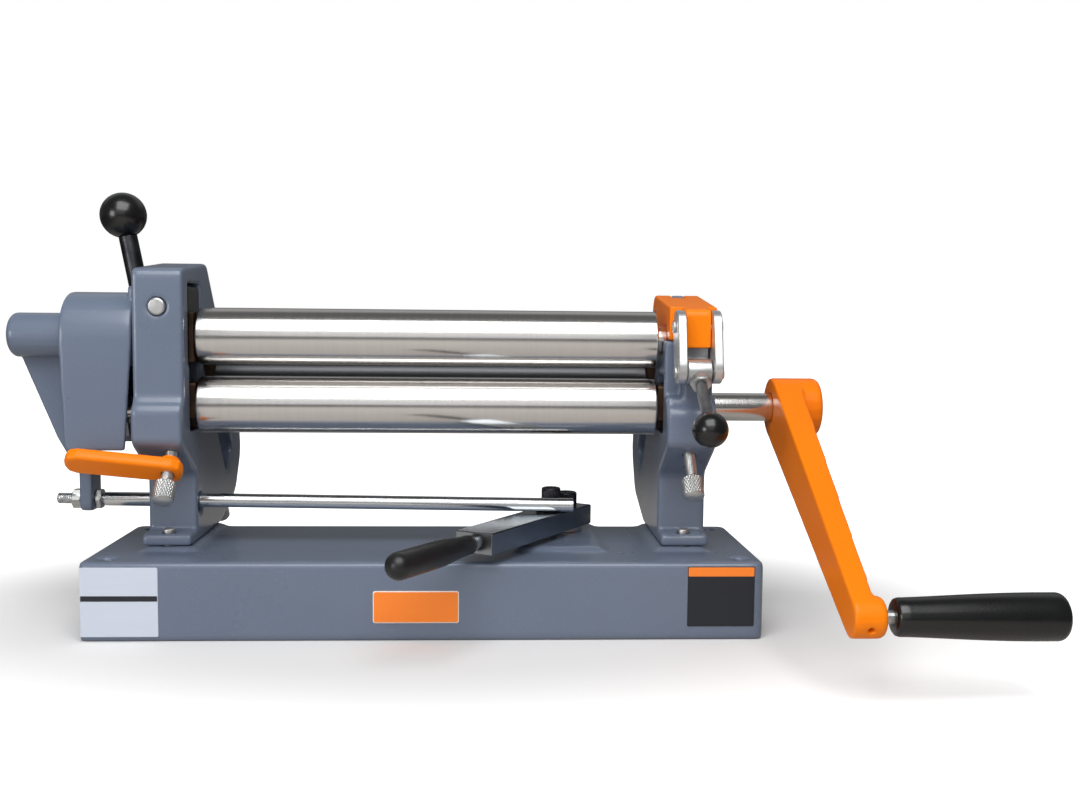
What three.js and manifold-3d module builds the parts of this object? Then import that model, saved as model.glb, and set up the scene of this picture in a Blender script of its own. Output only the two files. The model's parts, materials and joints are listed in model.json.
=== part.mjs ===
// A bench slip roll: three rolls between two cast frames on a hollow cast base.
// The upper roll hangs in a tail casting that rocks on a pin in the left frame.
// A hinged cap with a cam latch holds its right end, and a hand lever on the base
// pulls the tail over by a rod, which lifts the roll out of its seat.
// Millimetres, +X to the crank, +Y to the rear, +Z up, origin under the base's centre.
import * as THREE from 'three';
import { mergeVertices } from 'three/addons/utils/BufferGeometryUtils.js';
import Module from 'manifold-3d';

const wasm = await Module();
wasm.setup();

// Driving dimensions. Every length is in millimetres and is written once.
const fit = { gap: 0.3, loose: 0.5, overrun: 2 };
const base = {
  overhang: 31, front: -65, rear: 75, height: 53, wall: 6, deck: 8, rib: 6, corner: 5, edge: 2,
  padRise: 3, padSkirt: 8, holeDiameter: 10, holeInset: 15, holeBoss: 20,
};
const frame = {
  rollGap: 4, thickness: 34, edge: 1.5, footFront: -24, footTop: 64.6, footRear: 72,
  legFront: -6, legTop: 105, nose: -46.7, noseLow: 125, noseHigh: 159, face: -40, top: 247.5,
  topRear: 33, topRearRise: 6, lobeRear: 148, lobeHigh: 125, lobeLow: 103, lobeFoot: 126,
  lobeFootZ: 72, corner: 5, bigCorner: 14,
};
const footBolt = { inset: 8, diameter: 8, headDiameter: 13, headHeight: 5.5, reach: 16, rearInset: 12 };
const roll = {
  diameter: 40, length: 320, journal: 20, upperY: -6.6, upperZ: 201.5, gapOpen: 7.5,
  rearY: 50, rearZ: 166, chamfer: 1,
};
const block = { width: 28, height: 32, proud: 3.2, travel: 6 };
const rearSlide = { lean: 39.4, travel: 12, slotTail: 85 };
const screw = {
  lean: 42, diameter: 8, headDiameter: 14.6, headLength: 15, headAt: 62.5, leftHeadAt: 67, leftInset: 7.5, tipAt: 16,
  tipDiameter: 5, tipLength: 7, chamfer: 0.8, rearHeadAt: 138,
};
const gear = { teeth: 10, tip: 50, root: 27, face: 22, at: 14, tipWidth: 2.6, rootWidth: 4.2, bore: 18 };
const tail = {
  tongueWidth: 34, tongueTop: 236, tongueLow: 184, near: 1.4, far: 50, wall: 4, radius: 30,
  low: 124, lowNear: 7, web: 5.6, webLow: 181, sideLow: 47, bossDiameter: 31, bossEnd: 91,
  shaft: 16, shaftEnd: 84, gussetTop: 191, gussetMid: 64, gussetMidZ: 129, gussetThick: 12,
  lugWidth: 22, lugThick: 9, lugLow: 77, lugFar: 48, pinZ: 222, pinDiameter: 12, bushOuter: 26, bushOuterEnd: 22, edge: 1.5,
};
const handle = {
  x: 8.5, y: 14, rodDiameter: 13, lean: 11, rise: 59, ballDiameter: 32, seat: 10, spigot: 8,
  padDiameter: 16,
};
const pull = {
  y: 4.5, leftZ: 85, rightZ: 80.8, diameter: 10, thread: 8, leftEnd: 66, shoulder: 33, rightEnd: 104,
  nutAcross: 13, nutHeight: 6.5, lockNutHeight: 4, plateThick: 6, plateWidth: 22, slotRun: 4,
  legHoleDrop: 4,
};
const lever = {
  pivotX: 101, pivotY: 40, linkArm: 24, lean: 32, barWidth: 28, barLow: 60, barThick: 15,
  tailReach: 14, barReach: 130, grip: 17.5, gripNeck: 13, gripLength: 87, stub: 9, stubLength: 5,
  boltDiameter: 10, boltHead: 16, boltHeadHeight: 10, linkDiameter: 8, linkHead: 14.5,
  linkHeadHeight: 10, spacerDiameter: 24, socketDepth: 4, padLeft: 44, padRight: 28,
  padFront: 72,
};
const lockLever = {
  width: 20, thick: 9, reach: 66.5, tail: 9.5, at: 51.5, raise: 10, round: 2.5, collar: 14, collarHigh: 3,
};
const cap = {
  near: 3, far: 2, front: -45, noseWidth: 17.6, noseLow: 197, low: 201.9, frontTop: 223,
  hingeY: 45, hingeZ: 221, earRadius: 13, pinDiameter: 8, earThick: 11.5, noseNear: 11.2,
  noseRear: -28, corner: 4, edge: 1, leave: 27, leaveRun: 16, running: 1.5,
};
const latch = {
  linkThick: 6, linkRadius: 11.5, upY: -41, upZ: 211.3, lowY: -48, lowZ: 184.5, pinDiameter: 6,
  pinHead: 1.5, pinHeadDiameter: 8.5, camY: -47.5, camZ: 181.5, camDiameter: 17, throwOut: 1.8,
  throwAngle: 31.5, leverDown: 37.4, rodDiameter: 8, rodNeck: 6, reach: 58.5, ballDiameter: 23.5,
  nutAcross: 13, nutHeight: 6, seatTurns: [0, 30, 60, 90],
};
const crank = {
  near: 45.5, hubDiameter: 42, hubLength: 34, arm: 221, drop: 27.6, endDiameter: 24, endLength: 19.5,
  thickTop: 19, thickEnd: 13, round: 3, setScrew: 4, shaft: 20, spindle: 8, spindleGap: 5.5,
};
const grip = { length: 98.5, inner: 22, outer: 27.5, nose: 3, crown: 5, bore: 8.8, boreRest: 14 };

// Derived sizes, worked out from the ones above.
const half = (value) => value / 2;
const rad = THREE.MathUtils.degToRad;
const across = (angle) => Math.sin(rad(angle));
const along = (angle) => Math.cos(rad(angle));
const inside = half(roll.length) + frame.rollGap;
const outside = inside + frame.thickness;
const frameMiddle = half(inside + outside);
const baseLength = 2 * (outside + base.overhang);
const gearAt = outside + gear.at;
const crankNear = outside + crank.near;
const tailX = {
  near: outside + tail.near, lowNear: outside + tail.lowNear, sideLow: outside + tail.sideLow,
  far: outside + tail.far, gussetMid: outside + tail.gussetMid, lugFar: outside + tail.lugFar,
  shaftEnd: outside + tail.shaftEnd, bossEnd: outside + tail.bossEnd,
};
const capX = { near: inside + cap.near, far: outside + cap.far, noseNear: inside + cap.noseNear };
const lockX = screw.leftInset - frameMiddle;
const deckTop = base.height + base.padRise;
const rollRadius = half(roll.diameter);
const journalRadius = half(roll.journal);
const lowerZ = roll.upperZ - roll.diameter - roll.gapOpen;
const blockFace = inside - block.proud;
const windowHalf = half(tail.tongueWidth) + fit.gap;
const lugX = -(tailX.lugFar - half(tail.lugThick));
const linkX = lever.pivotX - lever.linkArm * across(lever.lean);
const linkY = lever.pivotY - lever.linkArm * along(lever.lean);
const barTop = lever.barLow + lever.barThick;
const camThrow = [latch.throwOut * along(latch.throwAngle), latch.throwOut * across(latch.throwAngle)];
const camPin = [latch.camY - camThrow[0], latch.camZ - camThrow[1]];
const rollMiddle = [roll.upperY, roll.upperZ];
const lowMiddle = [roll.upperY, lowerZ];
const screwWay = [0, across(screw.lean), along(screw.lean)];
const rearWay = [0, -across(rearSlide.lean), along(rearSlide.lean)];
const noseFar = capX.noseNear + cap.noseWidth;
const camMiddleX = half(capX.noseNear + noseFar);
const crankDrop = new THREE.Matrix4().makeRotationX(rad(crank.drop)).setPosition(0, ...lowMiddle);

// Segment counts of round forms.
const sides = { roll: 32, bore: 20, small: 14, fillet: 2, ball: 8, tiny: 10, ballRound: 16, hex: 6 };

// Materials, one for each finish.
const finish = (color, roughness, metalness) => new THREE.MeshStandardMaterial({ color, roughness, metalness });
const paints = {
  grey: finish(0x5d6470, 0.45, 0.1),
  orange: finish(0xf2701d, 0.4, 0.05),
  ground: finish(0xc9c9cb, 0.2, 1),
  zinc: finish(0xbfc2c2, 0.35, 0.9),
  bronze: finish(0x7a5b43, 0.5, 0.7),
  blackened: finish(0x2b2c2f, 0.5, 0.6),
  plastic: finish(0x17181a, 0.3, 0),
  steel: finish(0x9a9ca0, 0.35, 0.95),
};

// A geometry becomes a solid once its shared corners are merged and it faces out.
function solid(geometry) {
  const bare = new THREE.BufferGeometry();
  bare.setAttribute('position', geometry.getAttribute('position'));
  bare.setIndex(geometry.getIndex());
  const merged = mergeVertices(bare, 1e-4);
  const places = merged.getAttribute('position').array;
  const faces = [];
  const index = merged.getIndex().array;
  let volume = 0;
  for (let i = 0; i < index.length; i += 3) {
    const [a, b, c] = [index[i], index[i + 1], index[i + 2]];
    if (a === b || b === c || c === a) continue;
    faces.push(a, b, c);
    const [p, q, r] = [a, b, c].map((k) => new THREE.Vector3().fromArray(places, k * 3));
    volume += p.dot(q.cross(r));
  }
  if (volume < 0) faces.reverse();
  const mesh = new wasm.Mesh({
    numProp: 3, vertProperties: new Float32Array(places), triVerts: new Uint32Array(faces),
  });
  return new wasm.Manifold(mesh);
}

function unite(first, ...rest) {
  return rest.reduce((sum, next) => sum.add(next), first);
}

function carve(first, ...rest) {
  return rest.reduce((left, next) => left.subtract(next), first);
}

// A closed outline of [u, v, corner radius] points, each corner an arc.
function outline(points) {
  const shape = new THREE.Shape();
  const spots = [];
  points.forEach(([u, v, radius], i) => {
    const here = new THREE.Vector2(u, v);
    if (!radius) {
      spots.push(here);
      return;
    }
    const last = points[(i + points.length - 1) % points.length];
    const next = points[(i + 1) % points.length];
    const back = new THREE.Vector2(last[0] - u, last[1] - v).normalize();
    const ahead = new THREE.Vector2(next[0] - u, next[1] - v).normalize();
    const bend = Math.acos(THREE.MathUtils.clamp(back.dot(ahead), -1, 1));
    const reach = radius / Math.tan(bend / 2);
    const middle = back.clone().add(ahead).normalize().multiplyScalar(radius / Math.sin(bend / 2)).add(here);
    const start = here.clone().addScaledVector(back, reach).sub(middle);
    const turn = Math.PI - bend;
    const way = Math.sign(back.clone().cross(ahead)) * -1;
    const steps = Math.max(1, Math.round(sides.fillet * turn / (Math.PI / 2)));
    for (let k = 0; k <= steps; k += 1) {
      spots.push(start.clone().rotateAround(new THREE.Vector2(), way * turn * k / steps).add(middle));
    }
  });
  shape.setFromPoints(spots);
  return shape;
}

function box(u0, v0, u1, v1, radius = 0) {
  return outline([[u0, v0, radius], [u1, v0, radius], [u1, v1, radius], [u0, v1, radius]]);
}

function disc(u, v, radius, count = sides.bore) {
  const spots = [];
  for (let k = 0; k < count; k += 1) {
    const turn = (k + 0.5) * 2 * Math.PI / count;
    spots.push(new THREE.Vector2(u + radius * Math.cos(turn), v + radius * Math.sin(turn)));
  }
  return new THREE.Shape(spots);
}

// An outline swept straight: axis X takes (Y, Z), axis Y takes (X, Z), axis Z takes (X, Y).
const turns = {
  X: new THREE.Matrix4().makeBasis(
    new THREE.Vector3(0, 1, 0), new THREE.Vector3(0, 0, 1), new THREE.Vector3(1, 0, 0)),
  Y: new THREE.Matrix4().makeBasis(
    new THREE.Vector3(1, 0, 0), new THREE.Vector3(0, 0, 1), new THREE.Vector3(0, -1, 0)),
  Z: new THREE.Matrix4(),
};
function sweep(axis, shape, from, to, edge = 0) {
  const low = Math.min(from, to) + edge;
  const depth = Math.abs(to - from) - 2 * edge;
  const geometry = new THREE.ExtrudeGeometry(shape, {
    depth, bevelEnabled: edge > 0, bevelThickness: edge, bevelSize: edge, bevelOffset: -edge,
    bevelSegments: 2, curveSegments: sides.fillet, steps: 1,
  });
  const start = axis === 'Y' ? -(low + depth) : low;
  geometry.translate(0, 0, start);
  geometry.applyMatrix4(turns[axis]);
  return solid(geometry);
}

// A turned form of [radius, distance] points along a line from a place.
function turned(points, place, direction, count = sides.bore) {
  const profile = points.map(([r, h]) => new THREE.Vector2(Math.max(r, 0), h));
  const geometry = new THREE.LatheGeometry(profile, count);
  const way = new THREE.Vector3(...direction).normalize();
  const turn = new THREE.Quaternion().setFromUnitVectors(new THREE.Vector3(0, 1, 0), way);
  geometry.rotateY(Math.PI / count);
  geometry.applyQuaternion(turn);
  geometry.translate(...place);
  return solid(geometry);
}

function rod(place, direction, length, diameter, chamfer = 0, count = sides.bore) {
  const r = half(diameter);
  const points = chamfer > 0
    ? [[0, 0], [r - chamfer, 0], [r, chamfer], [r, length - chamfer], [r - chamfer, length], [0, length]]
    : [[0, 0], [r, 0], [r, length], [0, length]];
  return turned(points, place, direction, count);
}

function hexagon(acrossFlats) {
  const r = half(acrossFlats) / Math.cos(Math.PI / sides.hex);
  return Array.from({ length: sides.hex }, (_, k) => {
    const turn = k * 2 * Math.PI / sides.hex;
    return [r * Math.cos(turn), r * Math.sin(turn), 0];
  });
}

// A ball seen as a turned arc, cut flat where its rod enters.
function ballPoints(diameter, cutRadius, count = sides.ball) {
  const r = half(diameter);
  const first = Math.asin(cutRadius / r);
  const points = [[0, -r * Math.cos(first)]];
  for (let k = 0; k <= count; k += 1) {
    const turn = first + (Math.PI - first) * k / count;
    points.push([r * Math.sin(turn), -r * Math.cos(turn)]);
  }
  points[points.length - 1][0] = 0;
  return points;
}

function ballFlat(ballDiameter, rodDiameter) {
  return Math.sqrt(half(ballDiameter) ** 2 - half(rodDiameter) ** 2);
}

const model = new THREE.Group();
function piece(name, form, paint, parent = model) {
  const mesh = form.getMesh();
  const geometry = new THREE.BufferGeometry();
  geometry.setAttribute('position', new THREE.BufferAttribute(new Float32Array(mesh.vertProperties), 3));
  geometry.setIndex(new THREE.BufferAttribute(new Uint32Array(mesh.triVerts), 1));
  const node = new THREE.Mesh(geometry, paint);
  node.name = name;
  parent.add(node);
  return node;
}

// The base: a hollow casting with ribs that reach the bench, pads on its deck and
// four bosses for bench bolts.
function makeBase() {
  const right = half(baseLength);
  const outer = sweep('Z', box(-right, base.front, right, base.rear, base.corner),
    -base.edge - fit.overrun, base.height, base.edge);
  const below = sweep('Z', box(-baseLength, -baseLength, baseLength, baseLength), -base.height, 0);
  let body = outer.subtract(below);
  const pads = [
    [-outside - half(base.padSkirt), -inside + base.padSkirt, frame.footFront - base.padSkirt],
    [inside - base.padSkirt, outside + half(base.padSkirt), frame.footFront - base.padSkirt],
    [lever.pivotX - lever.padLeft, lever.pivotX + lever.padRight, lever.pivotY - lever.padFront],
  ];
  for (const [left, rightSide, front] of pads) {
    body = body.add(makePad(left, rightSide, front));
  }
  const floor = base.height - base.deck;
  const columns = [-right + base.wall, -half(right), 0, half(right), right - base.wall];
  const rows = [base.front + base.wall, 0, base.rear - base.wall];
  let pockets = null;
  for (let i = 0; i < columns.length - 1; i += 1) {
    for (let j = 0; j < rows.length - 1; j += 1) {
      const left = columns[i] + (i > 0 ? half(base.rib) : 0);
      const rightSide = columns[i + 1] - (i < columns.length - 2 ? half(base.rib) : 0);
      const front = rows[j] + (j > 0 ? half(base.rib) : 0);
      const rear = rows[j + 1] - (j < rows.length - 2 ? half(base.rib) : 0);
      const pocket = sweep('Z', box(left, front, rightSide, rear, base.corner), -fit.overrun, floor);
      pockets = pockets ? pockets.add(pocket) : pocket;
    }
  }
  const holes = [];
  for (const x of [-right + base.holeInset, right - base.holeInset]) {
    for (const y of [base.front + base.holeInset, base.rear - base.holeInset]) {
      const boss = rod([x, y, -fit.overrun], [0, 0, 1], base.height, base.holeBoss);
      pockets = pockets.subtract(boss);
      holes.push(rod([x, y, -fit.overrun], [0, 0, 1], base.height + 2 * fit.overrun, base.holeDiameter));
    }
  }
  body = body.subtract(pockets);
  for (const x of [-frameMiddle, frameMiddle]) holes.push(...boltCuts(x));
  holes.push(rod([lever.pivotX, lever.pivotY, floor - fit.overrun], [0, 0, 1],
    base.height, lever.boltDiameter + 2 * fit.gap));
  return carve(body, ...holes);
}

function makePad(left, right, front) {
  const skirt = base.padSkirt;
  const rear = base.rear - base.edge;
  const low = [[left, front], [right, front], [right, rear], [left, rear]];
  const high = [[left + skirt, front + skirt], [right - skirt, front + skirt],
    [right - skirt, rear], [left + skirt, rear]];
  const foot = base.height - base.edge;
  const places = [];
  for (const [x, y] of low) places.push(x, y, foot);
  for (const [x, y] of high) places.push(x, y, deckTop);
  const faces = [0, 2, 1, 0, 3, 2, 4, 5, 6, 4, 6, 7];
  for (let k = 0; k < 4; k += 1) {
    const next = (k + 1) % 4;
    faces.push(k, next, next + 4, k, next + 4, k + 4);
  }
  const geometry = new THREE.BufferGeometry();
  geometry.setAttribute('position', new THREE.BufferAttribute(new Float32Array(places), 3));
  geometry.setIndex(faces);
  return solid(geometry);
}

// Foot bolts hold each frame to the deck: the front one from above, the rear one from below.
const frontBoltY = frame.footFront + footBolt.inset;
const rearBoltY = frame.footRear - footBolt.rearInset;
const deckUnder = base.height - base.deck;

function boltCuts(x) {
  const wide = footBolt.diameter + 2 * fit.gap;
  const front = rod([x, frontBoltY, frame.footTop - footBolt.reach - fit.overrun], [0, 0, 1],
    footBolt.reach + 2 * fit.overrun, wide, 0, sides.small);
  const rear = rod([x, rearBoltY, deckUnder - fit.overrun], [0, 0, 1],
    footBolt.reach + base.deck + 2 * fit.overrun, wide, 0, sides.small);
  return [front, rear];
}

function footBoltForm(x, y, seat, way) {
  const shank = rod([x, y, seat + way * fit.gap], [0, 0, -way], footBolt.reach, footBolt.diameter,
    screw.chamfer, sides.small);
  const hex = outline(hexagon(footBolt.headDiameter).map(([u, v]) => [u + x, v + y, 0]));
  const start = seat + way * fit.gap;
  return shank.add(sweep('Z', hex, start, start + way * footBolt.headHeight));
}

// The side outline that both frames share: a foot, a leg, a front lobe for the lower
// roll's screw, a tall cheek and a long rear lobe for the rear roll's screw.
function frameOutline() {
  const seat = deckTop + fit.gap;
  return outline([
    [frame.footFront, seat, 0], [frame.footRear, seat, 0],
    [frame.lobeFoot, frame.lobeFootZ, frame.bigCorner], [frame.lobeRear, frame.lobeLow, frame.bigCorner],
    [frame.lobeRear - frame.corner, frame.lobeHigh, frame.bigCorner],
    [frame.topRear, frame.top + frame.topRearRise, frame.corner], [frame.face, frame.top, frame.corner],
    [frame.face, frame.noseHigh, frame.corner], [frame.nose, frame.noseHigh - frame.corner, frame.corner],
    [frame.nose, frame.noseLow + frame.corner, frame.corner], [frame.face, frame.noseLow, frame.corner],
    [frame.legFront, frame.legTop, frame.corner], [frame.legFront, frame.footTop, frame.edge / 2],
    [frame.footFront, frame.footTop, 2 * frame.edge],
  ]);
}

// A slot leaning forward for the rear block, with its screw's bore through the lobe.
function slantedBox(low, high, width, x0, x1, radius = 0) {
  const flat = sweepGeometryX(box(-half(width), low, half(width), high, radius), x0, x1);
  flat.applyMatrix4(new THREE.Matrix4().makeRotationX(rad(rearSlide.lean)).setPosition(0, roll.rearY, roll.rearZ));
  return solid(flat);
}

function sweepGeometryX(shape, from, to) {
  const geometry = new THREE.ExtrudeGeometry(shape, { depth: to - from, bevelEnabled: false });
  geometry.translate(0, 0, from);
  geometry.applyMatrix4(turns.X);
  return geometry;
}

const blockHalf = half(block.height);
function frameCuts(side) {
  const near = side * (inside - fit.overrun);
  const far = side * (outside + fit.overrun);
  const [x0, x1] = [Math.min(near, far), Math.max(near, far)];
  const middle = side * frameMiddle;
  const slide = half(block.width) + fit.gap;
  const windowTop = lowerZ + blockHalf + block.travel + fit.loose;
  const cuts = [
    sweep('X', box(roll.upperY - slide, lowerZ - blockHalf - fit.overrun, roll.upperY + slide, windowTop),
      x0, x1),
    slantedBox(-rearSlide.slotTail, blockHalf + rearSlide.travel + frame.corner,
      block.width + 2 * fit.gap, x0, x1, frame.corner),
  ];
  const bore = screw.diameter + 2 * fit.gap;
  const [, wy, wz] = screwWay;
  cuts.push(rod([side < 0 ? lockX : middle, roll.upperY - wy * screw.headAt, lowerZ - wz * screw.headAt],
    screwWay, screw.headAt, bore, 0, sides.small));
  const [, ry, rz] = rearWay;
  cuts.push(rod([middle, roll.rearY - ry * screw.rearHeadAt, roll.rearZ - rz * screw.rearHeadAt], rearWay,
    screw.rearHeadAt, bore, 0, sides.small));
  return cuts.concat(boltCuts(middle));
}

function makeLeftFrame() {
  const body = sweep('X', frameOutline(), -outside, -inside, frame.edge);
  const x0 = -outside - fit.overrun;
  const x1 = -inside + fit.overrun;
  const window = sweep('X', box(roll.upperY - windowHalf, tail.tongueLow - fit.overrun,
    roll.upperY + windowHalf, tail.tongueTop + fit.overrun), x0, x1);
  const pin = rod([-frameMiddle, frame.face - fit.overrun, tail.pinZ], [0, 1, 0],
    windowHalf * 3 + fit.overrun, tail.pinDiameter + 2 * fit.gap);
  const legZ = rodHeight(-frameMiddle);
  const hole = pull.diameter / 2 + 3 * fit.gap;
  const rodHole = sweep('X', box(pull.y - hole, legZ - hole - pull.legHoleDrop, pull.y + hole, legZ + hole,
    hole - fit.gap), x0, x1);
  const link = sweep('X', box(roll.upperY - half(block.width), lowerZ, roll.upperY + half(block.width),
    tail.tongueLow), x0, x1);
  return carve(body, window, link, pin, rodHole, ...frameCuts(-1));
}

// The height of the pull rod's middle line at a place along X.
function rodHeight(x) {
  return pull.leftZ + (pull.rightZ - pull.leftZ) * (x - lugX) / (pull.rightEnd - lugX);
}

// The right frame stops at the upper roll's middle line, as an open seat, with a lug
// behind it for the cap's hinge and a narrow front that the latch links straddle.
function makeRightFrame() {
  const high = frame.top + 2 * frame.corner;
  const lugFront = cap.hingeY - cap.earRadius - cap.running;
  const lugFoot = cap.hingeZ - cap.earRadius - cap.running;
  const lugNear = capX.near + cap.earThick + fit.gap;
  const lugFar = capX.far - cap.earThick - fit.gap;
  const x0 = inside - fit.overrun;
  const x1 = outside + fit.overrun;
  const seatTop = roll.upperZ;
  const body = carve(
    sweep('X', frameOutline(), inside, outside, frame.edge),
    sweep('X', box(frame.nose - fit.overrun, seatTop, lugFront, high), x0, x1),
    sweep('X', box(lugFront - fit.overrun, lugFoot, frame.lobeRear, high), x0, x1),
    sweep('X', disc(...rollMiddle, journalRadius + fit.gap), x0, x1),
    sweep('X', box(frame.face - fit.overrun, frame.noseHigh + 2 * fit.overrun, cap.noseRear,
      high), x0, capX.noseNear + fit.loose),
    sweep('X', box(frame.face - fit.overrun, frame.noseHigh + 2 * fit.overrun, cap.noseRear,
      high), noseFar - fit.loose, x1),
    ...camSeat(x0, x1),
    ...frameCuts(1),
  );
  const lug = unite(
    sweep('X', disc(cap.hingeY, cap.hingeZ, cap.earRadius), lugNear, lugFar),
    sweep('X', box(cap.hingeY - cap.earRadius, lugFoot - fit.overrun, cap.hingeY + cap.earRadius,
      cap.hingeZ), lugNear, lugFar),
  );
  const bore = rod([x0, cap.hingeY, cap.hingeZ], [1, 0, 0], x1 - x0, cap.pinDiameter + 2 * fit.gap);
  return carve(body.add(lug), bore);
}

// The barrel's seat in the frame's front, cleared for the way that its throw turns.
function camSeat(x0, x1) {
  return latch.seatTurns.map((turn) => {
    const y = camPin[0] + latch.throwOut * along(latch.throwAngle - turn);
    const z = camPin[1] + latch.throwOut * across(latch.throwAngle - turn);
    return sweep('X', disc(y, z, half(latch.camDiameter) + fit.gap), x0, x1);
  });
}

// A bronze block carries a journal in its window; its lower front corner is cut square
// to the screw that lifts it.
function makeLowBlock(side) {
  const reach = half(block.width);
  const near = Math.min(side * blockFace, side * outside);
  const cut = new THREE.Matrix4().makeRotationX(-rad(screw.lean)).setPosition(0, ...lowMiddle);
  const corner = sweepGeometryX(box(-block.width, -block.height * 2, block.width, -screw.tipAt + fit.gap),
    near - fit.overrun, near + frame.thickness + block.proud + fit.overrun);
  corner.applyMatrix4(cut);
  return carve(
    sweep('X', box(roll.upperY - reach, lowerZ - blockHalf, roll.upperY + reach, lowerZ + blockHalf,
      fit.loose), near, near + frame.thickness + block.proud),
    solid(corner),
    rod([near - fit.overrun, ...lowMiddle], [1, 0, 0], block.height * 2, roll.journal + 2 * fit.gap),
  );
}

function makeRearBlock(side) {
  const near = Math.min(side * blockFace, side * outside);
  return carve(
    slantedBox(-blockHalf, blockHalf, block.width, near, near + frame.thickness + block.proud, fit.loose),
    rod([near - fit.overrun, roll.rearY, roll.rearZ], [1, 0, 0], block.height * 2,
      roll.journal + 2 * fit.gap),
  );
}

// A thumb screw: round head, threaded shank and a plain tip that bears on its block.
function makeThumbScrew(x, y, z, way, headAt) {
  const start = [x, y - way[1] * (headAt + screw.headLength), z - way[2] * (headAt + screw.headLength)];
  const r = half(screw.headDiameter);
  const full = screw.headLength + headAt - screw.tipAt;
  const neck = full - screw.tipLength;
  const shank = half(screw.diameter);
  const tip = half(screw.tipDiameter);
  return turned([
    [0, 0], [r - screw.chamfer, 0], [r, screw.chamfer], [r, screw.headLength - screw.chamfer],
    [r - screw.chamfer, screw.headLength], [shank, screw.headLength], [shank, neck - screw.chamfer],
    [tip, neck], [tip, full], [0, full],
  ], start, way, sides.small);
}

// The lock lever is clamped under the left thumb screw's lobe and turns on its shank.
function makeLockLever() {
  const shape = box(-lockLever.reach, -half(lockLever.width), lockLever.tail, half(lockLever.width),
    half(lockLever.width) - lockLever.round);
  const bar = new THREE.ExtrudeGeometry(shape, {
    depth: lockLever.thick - 2 * lockLever.round, bevelEnabled: true, bevelThickness: lockLever.round,
    bevelSize: lockLever.round, bevelOffset: -lockLever.round, bevelSegments: 3,
  });
  bar.translate(0, 0, lockLever.round);
  bar.rotateZ(rad(lockLever.raise));
  bar.rotateX(-rad(screw.lean));
  const [, wy, wz] = screwWay;
  const far = lockLever.at + lockLever.thick;
  bar.translate(lockX, roll.upperY - wy * far, lowerZ - wz * far);
  const onScrew = (distance) => [lockX, roll.upperY - wy * distance, lowerZ - wz * distance];
  const collar = rod(onScrew(lockLever.at + lockLever.round), screwWay, lockLever.round + lockLever.collarHigh,
    lockLever.collar, 0, sides.bore);
  const hole = rod(onScrew(far + fit.overrun), screwWay, lockLever.thick + lockLever.collarHigh +
    2 * fit.overrun, screw.diameter + 2 * fit.gap, 0, sides.small);
  return solid(bar).add(collar).subtract(hole);
}

// A spur gear with long tapered teeth, which stay in mesh as the rolls close.
function gearOutline(middle, firstTurn) {
  const spots = [];
  const pitch = 2 * Math.PI / gear.teeth;
  const tipHalf = gear.tipWidth / gear.tip;
  const rootHalf = gear.rootWidth / gear.root;
  const put = (radius, turn) => spots.push(new THREE.Vector2(
    middle[0] + radius * Math.cos(turn), middle[1] + radius * Math.sin(turn)));
  for (let k = 0; k < gear.teeth; k += 1) {
    const turn = firstTurn + k * pitch;
    put(half(gear.root), turn - rootHalf);
    put(half(gear.tip) - fit.loose, turn - tipHalf * 1.2);
    put(half(gear.tip), turn - tipHalf / 2);
    put(half(gear.tip), turn + tipHalf / 2);
    put(half(gear.tip) - fit.loose, turn + tipHalf * 1.2);
    put(half(gear.root), turn + rootHalf);
    put(half(gear.root), turn + half(pitch) - rootHalf / 4);
    put(half(gear.root), turn + half(pitch) + rootHalf / 4);
  }
  return new THREE.Shape(spots);
}

function makeGear(middle, firstTurn) {
  return carve(
    sweep('X', gearOutline(middle, firstTurn), -gearAt - gear.face, -gearAt),
    rod([-gearAt - gear.face - fit.overrun, ...middle], [1, 0, 0], gear.face + 2 * fit.overrun, gear.bore),
  );
}

// A ground roll with its journals turned on both ends.
function makeRoll(middle, steps) {
  return turned(steps, [0, ...middle], [1, 0, 0], sides.roll);
}

const seatRadius = half(gear.bore) - fit.gap;
function barrel() {
  const end = half(roll.length);
  return [[journalRadius, -end], [rollRadius - roll.chamfer, -end], [rollRadius, roll.chamfer - end],
    [rollRadius, end - roll.chamfer], [rollRadius - roll.chamfer, end], [journalRadius, end]];
}

function upperRollSteps() {
  const tip = half(tail.shaft);
  const gearEnd = gearAt + gear.face + fit.gap;
  return [[0, -tailX.shaftEnd], [tip - roll.chamfer, -tailX.shaftEnd], [tip, roll.chamfer - tailX.shaftEnd],
    [tip, -gearEnd], [seatRadius, -gearEnd], [seatRadius, -gearAt + fit.gap],
    [journalRadius, -gearAt + fit.gap], ...barrel(), [journalRadius, outside - roll.chamfer * 2],
    [journalRadius - roll.chamfer, outside - roll.chamfer], [0, outside - roll.chamfer]];
}

function lowerRollSteps() {
  const gearEnd = gearAt + gear.face + 2 * roll.chamfer;
  const crankEnd = crankNear + crank.hubLength - crank.round - fit.gap;
  return [[0, -gearEnd], [seatRadius - roll.chamfer, -gearEnd], [seatRadius, roll.chamfer - gearEnd],
    [seatRadius, -gearAt + fit.gap], [journalRadius, -gearAt + fit.gap], ...barrel(),
    [journalRadius, crankEnd - roll.chamfer], [journalRadius - roll.chamfer, crankEnd], [0, crankEnd]];
}

function rearRollSteps() {
  const end = outside - 2 * roll.chamfer;
  return [[0, -end], [journalRadius - roll.chamfer, -end], [journalRadius, roll.chamfer - end],
    ...barrel(), [journalRadius, end - roll.chamfer], [journalRadius - roll.chamfer, end], [0, end]];
}

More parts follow.
